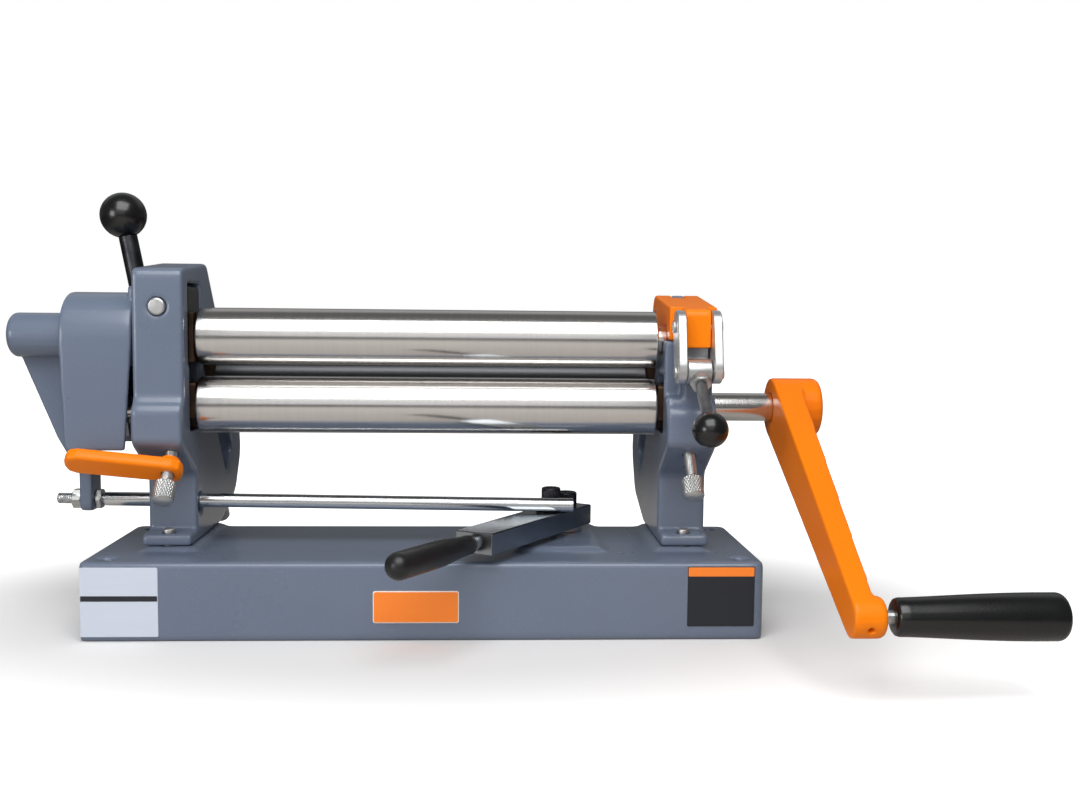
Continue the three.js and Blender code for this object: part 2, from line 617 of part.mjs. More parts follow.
// The tail casting: a tongue in the left frame's window, a case over the gears, a boss
// for the roll's far end, and a gusset down to the lug that the pull rod draws on.
function makeTail() {
  const [y, z] = rollMiddle;
  const side = outline([
    [-tailX.far, z + tail.radius + fit.overrun, 0], [-tailX.near, z + tail.radius + fit.overrun, 0],
    [-tailX.near, z, 0], [-tailX.lowNear, tail.low, 0], [-tailX.sideLow, tail.low, fit.overrun],
    [-tailX.far, z, 0],
  ]);
  const hood = (radius, low, x0, x1, edge) => {
    const shape = new THREE.Shape();
    shape.moveTo(y - radius, low);
    shape.lineTo(y + radius, low);
    shape.lineTo(y + radius, z);
    shape.absarc(y, z, radius, 0, Math.PI, false);
    shape.lineTo(y - radius, low);
    const geometry = new THREE.ExtrudeGeometry(shape, {
      depth: x1 - x0 - 2 * edge, bevelEnabled: edge > 0, bevelThickness: edge, bevelSize: edge,
      bevelOffset: -edge, bevelSegments: 2, curveSegments: half(sides.bore),
    });
    geometry.translate(0, 0, x0 + edge);
    geometry.applyMatrix4(turns.X);
    return solid(geometry);
  };
  const shell = hood(tail.radius, tail.low, -tailX.far, -tailX.near, tail.edge)
    .intersect(sweep('Y', side, y - 2 * tail.radius, y + 2 * tail.radius));
  const tongue = sweep('X', box(y - half(tail.tongueWidth), tail.tongueLow, y + half(tail.tongueWidth),
    tail.tongueTop, tail.edge), -tailX.near - tail.web, -inside - fit.gap);
  const boss = turned([[0, 0], [half(tail.bossDiameter) - crank.round, 0],
    [half(tail.bossDiameter), crank.round], [half(tail.bossDiameter), tailX.bossEnd - tailX.far + tail.edge],
    [0, tailX.bossEnd - tailX.far + tail.edge]], [-tailX.bossEnd, y, z], [1, 0, 0]);
  const gusset = sweep('Y', outline([
    [-tailX.bossEnd + frame.edge, tail.gussetTop, 0], [-tailX.gussetMid, tail.gussetMidZ, 0],
    [-tailX.lugFar, pull.leftZ + tail.bossDiameter - half(tail.lugWidth) - tail.edge * 3, 0],
    [-tailX.lugFar + tail.lugThick, pull.leftZ + half(tail.lugWidth), 0],
    [-tailX.lugFar + tail.lugThick, tail.low + 2 * tail.wall, 0], [-tailX.far + tail.wall, tail.gussetTop, 0],
  ]), pull.y - half(tail.gussetThick), pull.y + half(tail.gussetThick));
  const lug = sweep('X', box(pull.y - half(tail.lugWidth), tail.lugLow, pull.y + half(tail.lugWidth),
    tail.low + 2 * tail.wall, frame.corner), -tailX.lugFar, -tailX.lugFar + tail.lugThick, tail.edge / 2);
  const foot = handleFoot();
  const pad = rod([foot.x, foot.y, foot.z], [across(handle.lean), 0, -along(handle.lean)],
    handle.spigot * 2, handle.padDiameter).subtract(sweep('X', box(y - tail.radius, z, y + 2 * tail.radius,
    z + 2 * tail.radius), -tailX.near, -inside));
  const inner = tail.radius - tail.wall;
  const cuts = [
    hood(inner, tail.low - fit.overrun, -tailX.far + tail.wall, -tailX.near - tail.web, 0),
    sweep('X', box(y - inner, tail.low - fit.overrun, y + inner, tail.webLow), -tailX.near - 2 * tail.web,
      -tailX.near + fit.overrun),
    rod([-tailX.bossEnd + tail.wall, y, z], [1, 0, 0], tailX.bossEnd - tailX.far + fit.overrun,
      tail.bushOuterEnd + 2 * fit.gap),
    rod([-tailX.far, y, z], [1, 0, 0], tailX.far, tail.bushOuter + 2 * fit.gap),
    rod([-frameMiddle, y - tail.radius, tail.pinZ], [0, 1, 0], 2 * tail.radius, tail.pinDiameter + 2 * fit.gap),
    rod([-tailX.far, pull.y, pull.leftZ], [1, 0, 0], 2 * tail.lugThick, pull.thread + 2 * fit.loose, 0,
      sides.small),
    rod([foot.x, foot.y, foot.z + fit.gap], [across(handle.lean), 0, -along(handle.lean)], handle.spigot,
      handle.spigot + 2 * fit.gap, 0, sides.small),
    rod([foot.x, foot.y, foot.z], [-across(handle.lean), 0, along(handle.lean)], 2 * handle.seat,
      handle.rodDiameter + 2 * fit.gap),
  ];
  return carve(unite(shell, tongue, boss, gusset, lug, pad), ...cuts);
}

// Where the ball handle's rod leaves its pad on the case.
function handleFoot() {
  const offset = handle.y - roll.upperY;
  const surface = roll.upperZ + Math.sqrt(tail.radius ** 2 - offset ** 2);
  return { x: -(outside + handle.x), y: handle.y, z: surface + half(handle.seat) };
}

function makeTailRod() {
  const foot = handleFoot();
  const way = [-across(handle.lean), 0, along(handle.lean)];
  const start = handle.spigot - 2 * fit.gap;
  const place = [foot.x - way[0] * start, foot.y, foot.z - way[2] * start];
  const r = half(handle.rodDiameter);
  const spigot = half(handle.spigot);
  const neck = start + fit.gap;
  const full = start + handle.rise - ballFlat(handle.ballDiameter, handle.rodDiameter) - fit.gap;
  return turned([[0, 0], [spigot, 0], [spigot, neck], [r, neck], [r * along(handle.lean), full], [0, full]],
    place, way, sides.small);
}

function makeTailBall() {
  const foot = handleFoot();
  const way = [-across(handle.lean), 0, along(handle.lean)];
  const middle = [0, 1, 2].map((k) => [foot.x, foot.y, foot.z][k] + way[k] * handle.rise);
  return turned(ballPoints(handle.ballDiameter, half(handle.rodDiameter)), middle, way, sides.ballRound);
}

// A bush in the tongue with a square thrust flange, and a plain bush in the boss.
function makeTongueBush() {
  const [y, z] = rollMiddle;
  const plate = sweep('X', box(y - half(tail.tongueWidth), tail.tongueLow, y + half(tail.tongueWidth),
    z + half(tail.tongueWidth) - fit.loose, fit.loose), -inside, -blockFace);
  const sleeve = rod([-tailX.near - tail.web, y, z], [1, 0, 0], tailX.near + tail.web - inside + fit.gap,
    tail.bushOuter);
  const bore = rod([-tailX.far, y, z], [1, 0, 0], tailX.far, roll.journal + 2 * fit.gap);
  return carve(plate.add(sleeve), bore);
}

function makeBossBush() {
  const start = tailX.bossEnd - tail.wall - fit.gap;
  return carve(
    rod([-start, ...rollMiddle], [1, 0, 0], start - tailX.far + tail.wall, tail.bushOuterEnd),
    rod([-tailX.bossEnd, ...rollMiddle], [1, 0, 0], tailX.bossEnd, tail.shaft + 2 * fit.gap),
  );
}

// The pull rod, its nuts and the link plate that the hand lever's screw turns in.
const rodSlope = Math.atan2(pull.rightZ - pull.leftZ, pull.rightEnd - lugX);
const rodWay = [Math.cos(rodSlope), 0, Math.sin(rodSlope)];
function makePullRod() {
  const start = -(outside + pull.leftEnd);
  const full = pull.rightEnd - start;
  const step = full - (pull.rightEnd + (outside + pull.shoulder));
  const r = half(pull.diameter);
  const t = half(pull.thread);
  return turned([[0, 0], [t - screw.chamfer, 0], [t, screw.chamfer], [t, step], [r, step],
    [r, full - screw.chamfer], [r - screw.chamfer, full], [0, full]],
  [start, pull.y, rodHeight(start)], rodWay);
}

function makeRodNut(x0, height) {
  const nut = sweepGeometryX(outline(hexagon(pull.nutAcross)), 0, height);
  const hole = new THREE.CylinderGeometry(half(pull.thread) + fit.gap, half(pull.thread) + fit.gap,
    3 * height, sides.small);
  hole.rotateZ(half(Math.PI));
  for (const form of [nut, hole]) {
    form.rotateY(-rodSlope);
    form.translate(x0, pull.y, rodHeight(x0));
  }
  return solid(nut).subtract(solid(hole));
}

function makeLinkPlate() {
  const low = barTop + fit.gap;
  const front = pull.y + half(pull.diameter) + fit.gap;
  const shape = box(linkX - half(pull.plateWidth), front, pull.rightEnd, linkY + half(pull.plateWidth) - fit.gap,
    frame.corner);
  const wide = half(lever.linkDiameter) + fit.gap;
  const slot = box(linkX - wide, linkY - wide - pull.slotRun, linkX + wide, linkY + wide, wide - fit.gap / 3);
  return carve(
    sweep('Z', shape, low, low + pull.plateThick),
    sweep('Z', slot, low - fit.overrun, low + pull.plateThick + fit.overrun),
  );
}

// The hand lever: a ground bar on its pivot screw, with a grip on its end.
const barWay = [-across(lever.lean), -along(lever.lean), 0];
function makeLeverBar() {
  const bar = sweepLever(box(-half(lever.barWidth), -lever.tailReach, half(lever.barWidth), lever.barReach),
  lever.barLow, barTop);
  const stubAt = [0, 1].map((k) => [lever.pivotX, lever.pivotY][k] + barWay[k] * (lever.barReach - fit.gap));
  const stub = rod([...stubAt, half(lever.barLow + barTop)], barWay, lever.stubLength * 3, lever.stub);
  return carve(bar.add(stub),
    rod([lever.pivotX, lever.pivotY, lever.barLow - fit.overrun], [0, 0, 1], lever.barThick * 2,
      lever.boltDiameter + 2 * fit.gap),
    rod([linkX, linkY, lever.barLow - fit.overrun], [0, 0, 1], lever.barThick * 2,
      lever.linkDiameter + 2 * fit.gap, 0, sides.small));
}

function sweepLever(shape, low, high) {
  const geometry = new THREE.ExtrudeGeometry(shape, {
    depth: high - low - 2 * screw.chamfer, bevelEnabled: true, bevelThickness: screw.chamfer,
    bevelSize: screw.chamfer, bevelOffset: -screw.chamfer, bevelSegments: 1,
  });
  geometry.rotateZ(Math.PI - rad(lever.lean));
  geometry.translate(lever.pivotX, lever.pivotY, low + screw.chamfer);
  return solid(geometry);
}

function makeLeverGrip() {
  const start = lever.barReach + lever.stubLength;
  const place = [0, 1].map((k) => [lever.pivotX, lever.pivotY][k] + barWay[k] * start);
  const r = half(lever.grip);
  const neck = half(lever.gripNeck);
  const points = [[0, 0], [neck - screw.chamfer, 0], [neck, screw.chamfer],
    [r, 2 * lever.grip], [r, lever.gripLength - r]];
  for (let k = 1; k <= sides.ball / 2; k += 1) {
    const turn = half(Math.PI) * k / (sides.ball / 2);
    points.push([r * Math.cos(turn), lever.gripLength - r + r * Math.sin(turn)]);
  }
  points[points.length - 1][0] = 0;
  const middle = half(lever.barLow + barTop);
  const bore = rod([place[0] - barWay[0] * fit.overrun, place[1] - barWay[1] * fit.overrun, middle], barWay,
    lever.stubLength * 2 + 2 * fit.overrun, lever.stub + 2 * fit.gap);
  return turned(points, [...place, middle], barWay).subtract(bore);
}

function capScrew(x, y, seat, low, shank, head, headHeight) {
  const hex = outline(hexagon(half(head)).map(([u, v]) => [u + x, v + y, 0]));
  return carve(
    unite(rod([x, y, low], [0, 0, 1], seat - low + fit.gap, shank, screw.chamfer, sides.small),
      rod([x, y, seat], [0, 0, 1], headHeight, head, screw.chamfer)),
    sweep('Z', hex, seat + headHeight - lever.socketDepth, seat + headHeight + fit.overrun),
  );
}

// The orange cap closes over the upper journal and turns up on a hinge pin behind it.
// Its saddle opens towards the rear, along the way that it leaves the journal.
function makeCap() {
  const { hingeY, hingeZ, earRadius } = cap;
  const rearFoot = hingeY - earRadius - cap.running - fit.gap;
  const drop = frame.face - 2 * fit.gap;
  const shape = outline([
    [cap.front, cap.noseLow, 0], [drop, cap.noseLow, 0], [drop, cap.low, 0],
    [rearFoot, cap.low, 0], [rearFoot, hingeZ - earRadius / 2, 0], [hingeY, hingeZ - earRadius / 2, 0],
    [hingeY, hingeZ + earRadius, 0], [cap.front, cap.frontTop, cap.corner],
  ]);
  const body = sweep('X', shape, capX.near, capX.far, cap.edge);
  const ears = sweep('X', disc(hingeY, hingeZ, earRadius), capX.near, capX.far, cap.edge);
  const x0 = capX.near - fit.overrun;
  const x1 = capX.far + fit.overrun;
  const saddle = sweepGeometryX(box(-journalRadius - fit.gap, -cap.leaveRun - journalRadius,
    journalRadius + fit.gap, 0), x0, x1);
  saddle.applyMatrix4(new THREE.Matrix4().makeRotationX(rad(cap.leave)).setPosition(0, ...rollMiddle));
  const high = hingeZ + 2 * earRadius;
  const rear = hingeY + 2 * earRadius;
  return carve(
    unite(body, ears),
    solid(saddle),
    rod([x0, ...rollMiddle], [1, 0, 0], x1 - x0, 2 * (journalRadius + fit.gap), 0, sides.roll),
    sweep('X', box(rearFoot - fit.gap, cap.noseLow, rear, high), capX.near + cap.earThick,
      capX.far - cap.earThick),
    sweep('X', box(cap.front - fit.overrun, cap.noseLow - fit.overrun, cap.noseRear, high), x0, capX.noseNear),
    sweep('X', box(cap.front - fit.overrun, cap.noseLow - fit.overrun, cap.noseRear, high), noseFar, x1),
    rod([x0, hingeY, hingeZ], [1, 0, 0], x1 - x0, cap.pinDiameter + 2 * fit.gap),
    rod([x0, latch.upY, latch.upZ], [1, 0, 0], x1 - x0, latch.pinDiameter + 2 * fit.gap, 0, sides.small),
  );
}

// Two ground links hang on a pin through the cap's nose; a pin at their lower ends
// carries the eccentric barrel, which bears in a shallow seat in the frame's front.
function makeLink(near) {
  const reach = new THREE.Vector2(latch.lowY - latch.upY, latch.lowZ - latch.upZ);
  const sideways = new THREE.Vector2(-reach.y, reach.x).normalize().multiplyScalar(latch.linkRadius);
  const corners = [[1, 0], [-1, 0], [-1, 1], [1, 1]].map(([way, end]) => [
    latch.upY + reach.x * end + sideways.x * way, latch.upZ + reach.y * end + sideways.y * way, 0]);
  const far = near + latch.linkThick;
  const x0 = near - fit.overrun;
  return carve(
    unite(sweep('X', outline(corners), near, far),
      sweep('X', disc(latch.upY, latch.upZ, latch.linkRadius), near, far),
      sweep('X', disc(latch.lowY, latch.lowZ, latch.linkRadius), near, far)),
    rod([x0, latch.upY, latch.upZ], [1, 0, 0], latch.linkThick * 2, latch.pinDiameter + 2 * fit.gap, 0,
      sides.small),
    rod([x0, ...camPin], [1, 0, 0], latch.linkThick * 2, latch.pinDiameter + 2 * fit.gap, 0, sides.small),
  );
}

const linkNear = capX.noseNear - fit.gap - latch.linkThick;
const linkFar = noseFar + fit.gap;
function makeLatchPin([y, z]) {
  const head = half(latch.pinHeadDiameter);
  const r = half(latch.pinDiameter);
  const start = linkNear - fit.gap - latch.pinHead;
  const span = linkFar + latch.linkThick + fit.gap - linkNear + fit.gap;
  const full = span + 2 * latch.pinHead;
  return turned([[0, 0], [head, 0], [head, latch.pinHead], [r, latch.pinHead], [r, latch.pinHead + span],
    [head, latch.pinHead + span], [head, full], [0, full]], [start, y, z], [1, 0, 0], sides.small);
}

const leverWay = [0, -along(latch.leverDown), -across(latch.leverDown)];
function onLever(distance) {
  return [camMiddleX, latch.camY + leverWay[1] * distance, latch.camZ + leverWay[2] * distance];
}

function makeCamBarrel() {
  const start = capX.noseNear + fit.gap;
  const width = cap.noseWidth - 2 * fit.gap;
  const socket = half(latch.camDiameter) - latch.nutHeight / 3;
  return carve(
    rod([start, latch.camY, latch.camZ], [1, 0, 0], width, latch.camDiameter, screw.chamfer),
    rod([start - fit.overrun, ...camPin], [1, 0, 0], width * 2, latch.pinDiameter + 2 * fit.gap, 0, sides.small),
    rod(onLever(socket), leverWay, latch.camDiameter, latch.rodNeck + 2 * fit.gap, 0, sides.tiny),
  );
}

function makeLatchRod() {
  const start = half(latch.camDiameter) - latch.nutHeight / 3 + fit.gap;
  const nutEnd = half(latch.camDiameter) + fit.gap * 2 + latch.nutHeight;
  const full = latch.reach - ballFlat(latch.ballDiameter, latch.rodDiameter) - fit.gap - start;
  const neck = half(latch.rodNeck);
  const r = half(latch.rodDiameter);
  return turned([[0, 0], [neck, 0], [neck, nutEnd - start], [r, nutEnd - start], [r, full], [0, full]],
    onLever(start), leverWay, sides.small);
}

function makeLatchNut() {
  const turn = new THREE.Quaternion().setFromUnitVectors(new THREE.Vector3(0, 0, 1), new THREE.Vector3(...leverWay));
  const start = onLever(half(latch.camDiameter) + fit.gap);
  const nut = new THREE.ExtrudeGeometry(outline(hexagon(latch.nutAcross)), {
    depth: latch.nutHeight, bevelEnabled: false });
  nut.applyQuaternion(turn);
  nut.translate(...start);
  const hole = rod(onLever(half(latch.camDiameter) - fit.overrun), leverWay, latch.nutHeight * 2,
    latch.rodNeck + 2 * fit.gap, 0, sides.tiny);
  return solid(nut).subtract(hole);
}

function makeLatchBall() {
  return turned(ballPoints(latch.ballDiameter, half(latch.rodDiameter)), onLever(latch.reach), leverWay,
    sides.ballRound);
}

// The crank arm: a flat-backed tapered bar between two round hubs.
function makeCrankArm() {
  const top = half(crank.hubDiameter);
  const end = half(crank.endDiameter);
  const lean = Math.asin((top - end) / crank.arm);
  const grow = [Math.sin(lean), Math.cos(lean)];
  const bar = sweep('X', outline([
    [grow[0] * -top, grow[1] * top, 0], [-crank.arm - grow[0] * end, grow[1] * end, 0],
    [-crank.arm - grow[0] * end, -grow[1] * end, 0], [grow[0] * -top, -grow[1] * top, 0],
  ]), crankNear, crankNear + crank.thickTop);
  const wedge = sweep('Z', outline([
    [crankNear, 0, 0], [crankNear + crank.thickTop, 0, 0], [crankNear + crank.thickEnd, -crank.arm, 0],
    [crankNear, -crank.arm, 0],
  ]), -crank.arm, crank.arm);
  const hub = (y, diameter, length) => turned([[0, 0], [half(diameter) - fit.loose, 0],
    [half(diameter), fit.loose], [half(diameter), length - crank.round],
    [half(diameter) - crank.round / 3, length - crank.round / 3], [half(diameter) - crank.round, length],
    [0, length]], [crankNear, y, 0], [1, 0, 0]);
  const arm = unite(bar.intersect(wedge), hub(0, crank.hubDiameter, crank.hubLength),
    hub(-crank.arm, crank.endDiameter, crank.endLength));
  const x0 = crankNear - fit.overrun;
  const cuts = [
    rod([x0, 0, 0], [1, 0, 0], crank.hubLength - crank.round + fit.overrun, crank.shaft + 2 * fit.gap),
    rod([crankNear + crank.round, -crank.arm, 0], [1, 0, 0], crank.endLength, crank.spindle + 2 * fit.gap,
      0, sides.small),
    rod([crankNear + half(crank.endLength), -crank.arm, 0], [0, -1, 0], crank.endDiameter, crank.setScrew,
      0, sides.tiny),
  ];
  return moved(carve(arm, ...cuts), crankDrop);
}

function moved(form, matrix) {
  return form.transform(matrix.elements);
}

function makeSpindle() {
  const start = crankNear + crank.round + fit.gap;
  const full = crank.endLength - crank.round + crank.spindleGap + (grip.length - grip.boreRest) - 2 * fit.gap;
  return moved(rod([start, -crank.arm, 0], [1, 0, 0], full, crank.spindle, screw.chamfer, sides.small),
    crankDrop);
}

function makeCrankGrip() {
  const start = crankNear + crank.endLength + crank.spindleGap;
  const inner = half(grip.inner);
  const outer = half(grip.outer);
  const form = turned([[0, 0], [inner - grip.nose, 0], [inner - grip.nose / 3, grip.nose / 3],
    [inner, grip.nose], [half(inner + outer) + fit.loose, half(grip.length)],
    [outer, grip.length - 3 * grip.crown], [outer, grip.length - grip.crown],
    [outer - grip.crown / 3, grip.length - grip.crown / 3], [outer - grip.crown, grip.length],
    [0, grip.length]], [start, -crank.arm, 0], [1, 0, 0]);
  const bore = rod([start - fit.overrun, -crank.arm, 0], [1, 0, 0], (grip.length - grip.boreRest) + fit.overrun, grip.bore, 0,
    sides.small);
  return moved(form.subtract(bore), crankDrop);
}

// Everything is put together, each piece in its own node.
piece('base_casting', makeBase(), paints.grey);
piece('left_frame', makeLeftFrame(), paints.grey);
piece('right_frame', makeRightFrame(), paints.grey);
for (const [name, x] of [['left', -frameMiddle], ['right', frameMiddle]]) {
  piece(`${name}_front_foot_bolt`, footBoltForm(x, frontBoltY, frame.footTop, 1), paints.zinc);
  piece(`${name}_rear_foot_bolt`, footBoltForm(x, rearBoltY, deckUnder, -1), paints.zinc);
}
piece('tilt_pin', rod([-frameMiddle, frame.face - frame.edge, tail.pinZ], [0, 1, 0], windowHalf * 3 - fit.overrun,
  tail.pinDiameter, screw.chamfer), paints.steel);
piece('cap_hinge_pin', rod([capX.near, cap.hingeY, cap.hingeZ], [1, 0, 0], capX.far - capX.near,
  cap.pinDiameter, screw.chamfer, sides.small), paints.zinc);
piece('lever_pivot_screw', capScrew(lever.pivotX, lever.pivotY, barTop + fit.gap, deckUnder - fit.overrun,
  lever.boltDiameter, lever.boltHead, lever.boltHeadHeight), paints.blackened);
piece('lever_spacer', carve(
  rod([lever.pivotX, lever.pivotY, deckTop + fit.gap], [0, 0, 1], lever.barLow - deckTop - 2 * fit.gap,
    lever.spacerDiameter),
  rod([lever.pivotX, lever.pivotY, deckUnder], [0, 0, 1], lever.barThick * 3, lever.boltDiameter + 2 * fit.gap),
), paints.zinc);
piece('tail_casting', makeTail(), paints.grey);
piece('tongue_bush', makeTongueBush(), paints.bronze);
piece('boss_bush', makeBossBush(), paints.bronze);
piece('tail_handle_rod', makeTailRod(), paints.blackened);
piece('tail_handle_ball', makeTailBall(), paints.plastic);
piece('upper_roll', makeRoll(rollMiddle, upperRollSteps()), paints.ground);
piece('upper_gear', makeGear(rollMiddle, -half(Math.PI)), paints.steel);
piece('lower_roll', makeRoll(lowMiddle, lowerRollSteps()), paints.ground);
piece('lower_gear', makeGear(lowMiddle, half(Math.PI) + Math.PI / gear.teeth), paints.steel);
piece('rear_roll', makeRoll([roll.rearY, roll.rearZ], rearRollSteps()), paints.ground);
for (const [name, side] of [['left', -1], ['right', 1]]) {
  piece(`${name}_lower_block`, makeLowBlock(side), paints.bronze);
  piece(`${name}_rear_block`, makeRearBlock(side), paints.bronze);
  piece(`${name}_thumb_screw`, makeThumbScrew(side < 0 ? lockX : frameMiddle, ...lowMiddle, screwWay,
    side < 0 ? screw.leftHeadAt : screw.headAt),
    paints.zinc);
  piece(`${name}_rear_screw`, makeThumbScrew(side * frameMiddle, roll.rearY, roll.rearZ, rearWay,
    screw.rearHeadAt), paints.zinc);
}
piece('lock_lever', makeLockLever(), paints.orange);
piece('pull_rod', makePullRod(), paints.ground);
piece('rod_nut', makeRodNut(-tailX.lugFar - fit.loose - pull.nutHeight, pull.nutHeight), paints.zinc);
piece('rod_lock_nut', makeRodNut(-tailX.lugFar + tail.lugThick + fit.loose, pull.lockNutHeight), paints.zinc);
piece('rod_link_plate', makeLinkPlate(), paints.blackened);
piece('lever_bar', makeLeverBar(), paints.ground);
piece('lever_grip', makeLeverGrip(), paints.plastic);
piece('link_screw', capScrew(linkX, linkY, barTop + pull.plateThick + 2 * fit.gap, lever.barLow + fit.gap,
  lever.linkDiameter, lever.linkHead, lever.linkHeadHeight), paints.blackened);
piece('roll_cap', makeCap(), paints.orange);
piece('latch_link_inner', makeLink(linkNear), paints.ground);
piece('latch_link_outer', makeLink(linkFar), paints.ground);
piece('latch_upper_pin', makeLatchPin([latch.upY, latch.upZ]), paints.zinc);
piece('latch_lower_pin', makeLatchPin(camPin), paints.zinc);
piece('cam_barrel', makeCamBarrel(), paints.zinc);
piece('latch_rod', makeLatchRod(), paints.steel);
piece('latch_nut', makeLatchNut(), paints.zinc);
piece('latch_ball', makeLatchBall(), paints.plastic);
piece('crank_arm', makeCrankArm(), paints.orange);
piece('grip_spindle', makeSpindle(), paints.zinc);
piece('crank_grip', makeCrankGrip(), paints.plastic);

export default model;
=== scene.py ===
import json
import math
import bpy
import numpy as np
from mathutils import Matrix, Vector


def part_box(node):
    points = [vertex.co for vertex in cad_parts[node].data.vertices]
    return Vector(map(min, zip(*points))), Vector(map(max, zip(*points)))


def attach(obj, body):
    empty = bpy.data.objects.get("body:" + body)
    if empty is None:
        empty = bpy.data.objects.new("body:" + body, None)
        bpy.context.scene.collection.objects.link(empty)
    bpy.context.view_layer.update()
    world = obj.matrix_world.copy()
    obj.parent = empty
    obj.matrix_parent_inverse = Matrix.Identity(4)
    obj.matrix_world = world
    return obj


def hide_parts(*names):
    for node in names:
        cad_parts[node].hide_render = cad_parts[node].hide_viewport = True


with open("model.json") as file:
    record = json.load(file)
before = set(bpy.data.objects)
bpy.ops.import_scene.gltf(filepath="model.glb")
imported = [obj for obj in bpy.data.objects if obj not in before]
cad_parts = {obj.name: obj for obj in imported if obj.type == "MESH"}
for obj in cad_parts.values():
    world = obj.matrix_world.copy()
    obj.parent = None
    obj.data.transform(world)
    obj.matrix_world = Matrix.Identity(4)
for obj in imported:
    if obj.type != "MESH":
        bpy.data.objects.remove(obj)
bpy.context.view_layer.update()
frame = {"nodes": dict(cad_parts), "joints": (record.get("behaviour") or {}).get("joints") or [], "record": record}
print("frame loaded:", len(frame["nodes"]), "nodes")

mm = 0.001  # the sizes below are in millimetres
same = 0.01  # millimetres: places and radii nearer than this are one


# Shader maths: a Wire is a socket, and an expression on Wires adds Math nodes.
class Wire:
    def __init__(self, board, socket):
        self.board = board
        self.socket = socket

    def maths(self, operation, *others):
        values = dict(enumerate((self, *others)))
        return self.board.node("ShaderNodeMath", {"operation": operation}, values).out()

    def __add__(self, other): return self.maths("ADD", other)
    def __radd__(self, other): return self.maths("ADD", other)
    def __sub__(self, other): return self.maths("SUBTRACT", other)
    def __rsub__(self, other): return Wire.wrap(self.board, other).maths("SUBTRACT", self)
    def __mul__(self, other): return self.maths("MULTIPLY", other)
    def __rmul__(self, other): return self.maths("MULTIPLY", other)
    def power(self, other): return self.maths("POWER", other)
    def most(self, other): return self.maths("MAXIMUM", other)

    def between(self, low, high):  # 0 at low, 1 at high, smooth
        made = self.board.node("ShaderNodeMapRange", {"interpolation_type": "SMOOTHSTEP"}, {
            "Value": self, "From Min": low, "From Max": high, "To Min": 0.0, "To Max": 1.0})
        return made.out("Result")

    @staticmethod
    def wrap(board, value):
        made = board.node("ShaderNodeValue", {}, {})
        made.item.outputs[0].default_value = value
        return made.out()


class Made:
    def __init__(self, board, item):
        self.board = board
        self.item = item

    def out(self, name=0): return Wire(self.board, self.item.outputs[name])


# A Board is a node tree: node() makes any node from its kind, its settings and what its sockets get.
class Board:
    def __init__(self, tree):
        self.tree = tree

    def node(self, kind, settings, sockets):
        item = self.tree.nodes.new(kind)
        for key, value in settings.items():
            setattr(item, key, value)
        for key, value in sockets.items():
            if isinstance(value, Wire):
                self.tree.links.new(value.socket, item.inputs[key])
            else:
                item.inputs[key].default_value = value
        return Made(self, item)


class Look(Board):
    def __init__(self, name, **constants):
        self.material = bpy.data.materials.new(name)
        self.material.use_nodes = True
        super().__init__(self.material.node_tree)
        self.tree.nodes.clear()
        self.shader = self.node("ShaderNodeBsdfPrincipled", {}, constants)
        self.node("ShaderNodeOutputMaterial", {}, {"Surface": self.shader.out()})
        self.place = self.node("ShaderNodeTexCoord", {}, {}).out("Object")

    def noise(self, scale, detail=3.0, rough=0.5, stretch=None):
        place = self.place
        if stretch:
            place = self.node("ShaderNodeMapping", {}, {"Vector": place, "Scale": stretch}).out()
        return self.node("ShaderNodeTexNoise", {}, {
            "Vector": place, "Scale": scale, "Detail": detail, "Roughness": rough}).out("Fac")

    def mix(self, share, first, second):  # sockets 6 and 7 are the two colours, 2 is the mixed one
        colours = {slot: value if isinstance(value, Wire) else (*value, 1.0)
                   for slot, value in ((6, first), (7, second))}
        return self.node("ShaderNodeMix", {"data_type": "RGBA"}, {0: share, **colours}).out(2)

    def axes(self):
        made = self.node("ShaderNodeSeparateXYZ", {}, {"Vector": self.place})
        return made.out("X"), made.out("Y"), made.out("Z")

    def feed(self, **sockets):
        for key, value in sockets.items():
            self.tree.links.new(value.socket, self.shader.item.inputs[key.replace("_", " ")])
        return self.material

    def bump(self, height, depth, edge=0.0):
        normal = {}
        if edge:
            normal = {"Normal": self.node("ShaderNodeBevel", {"samples": 6}, {"Radius": edge}).out()}
        return self.node("ShaderNodeBump", {}, {
            "Height": height, "Distance": depth, "Strength": 1.0, **normal}).out()


def shade(hexCode):
    parts = [int(hexCode[k:k + 2], 16) / 255 for k in (0, 2, 4)]
    return tuple(v / 12.92 if v <= 0.04045 else ((v + 0.055) / 1.055) ** 2.4 for v in parts)


def paler(colour, share):
    return tuple(min(1.0, v * share) for v in shade(colour))


# Enamel: a level gloss coat with faint orange peel and pale flecks. With bareFrom, what lies past
# that x is painted shade: nearly black and a little rougher, standing for the shade in a recess.
coat = {"rough": 0.12, "clouds": 9.0, "flecks": 520.0, "fleckShare": 0.3, "peel": 190.0, "ripple": 60.0,
        "rippleShare": 1.5, "dull": 26.0, "dullShare": 0.1, "depth": 0.00006, "bare": "1b1d1e",
        "bareRough": 0.2, "bareEdge": 0.0005}


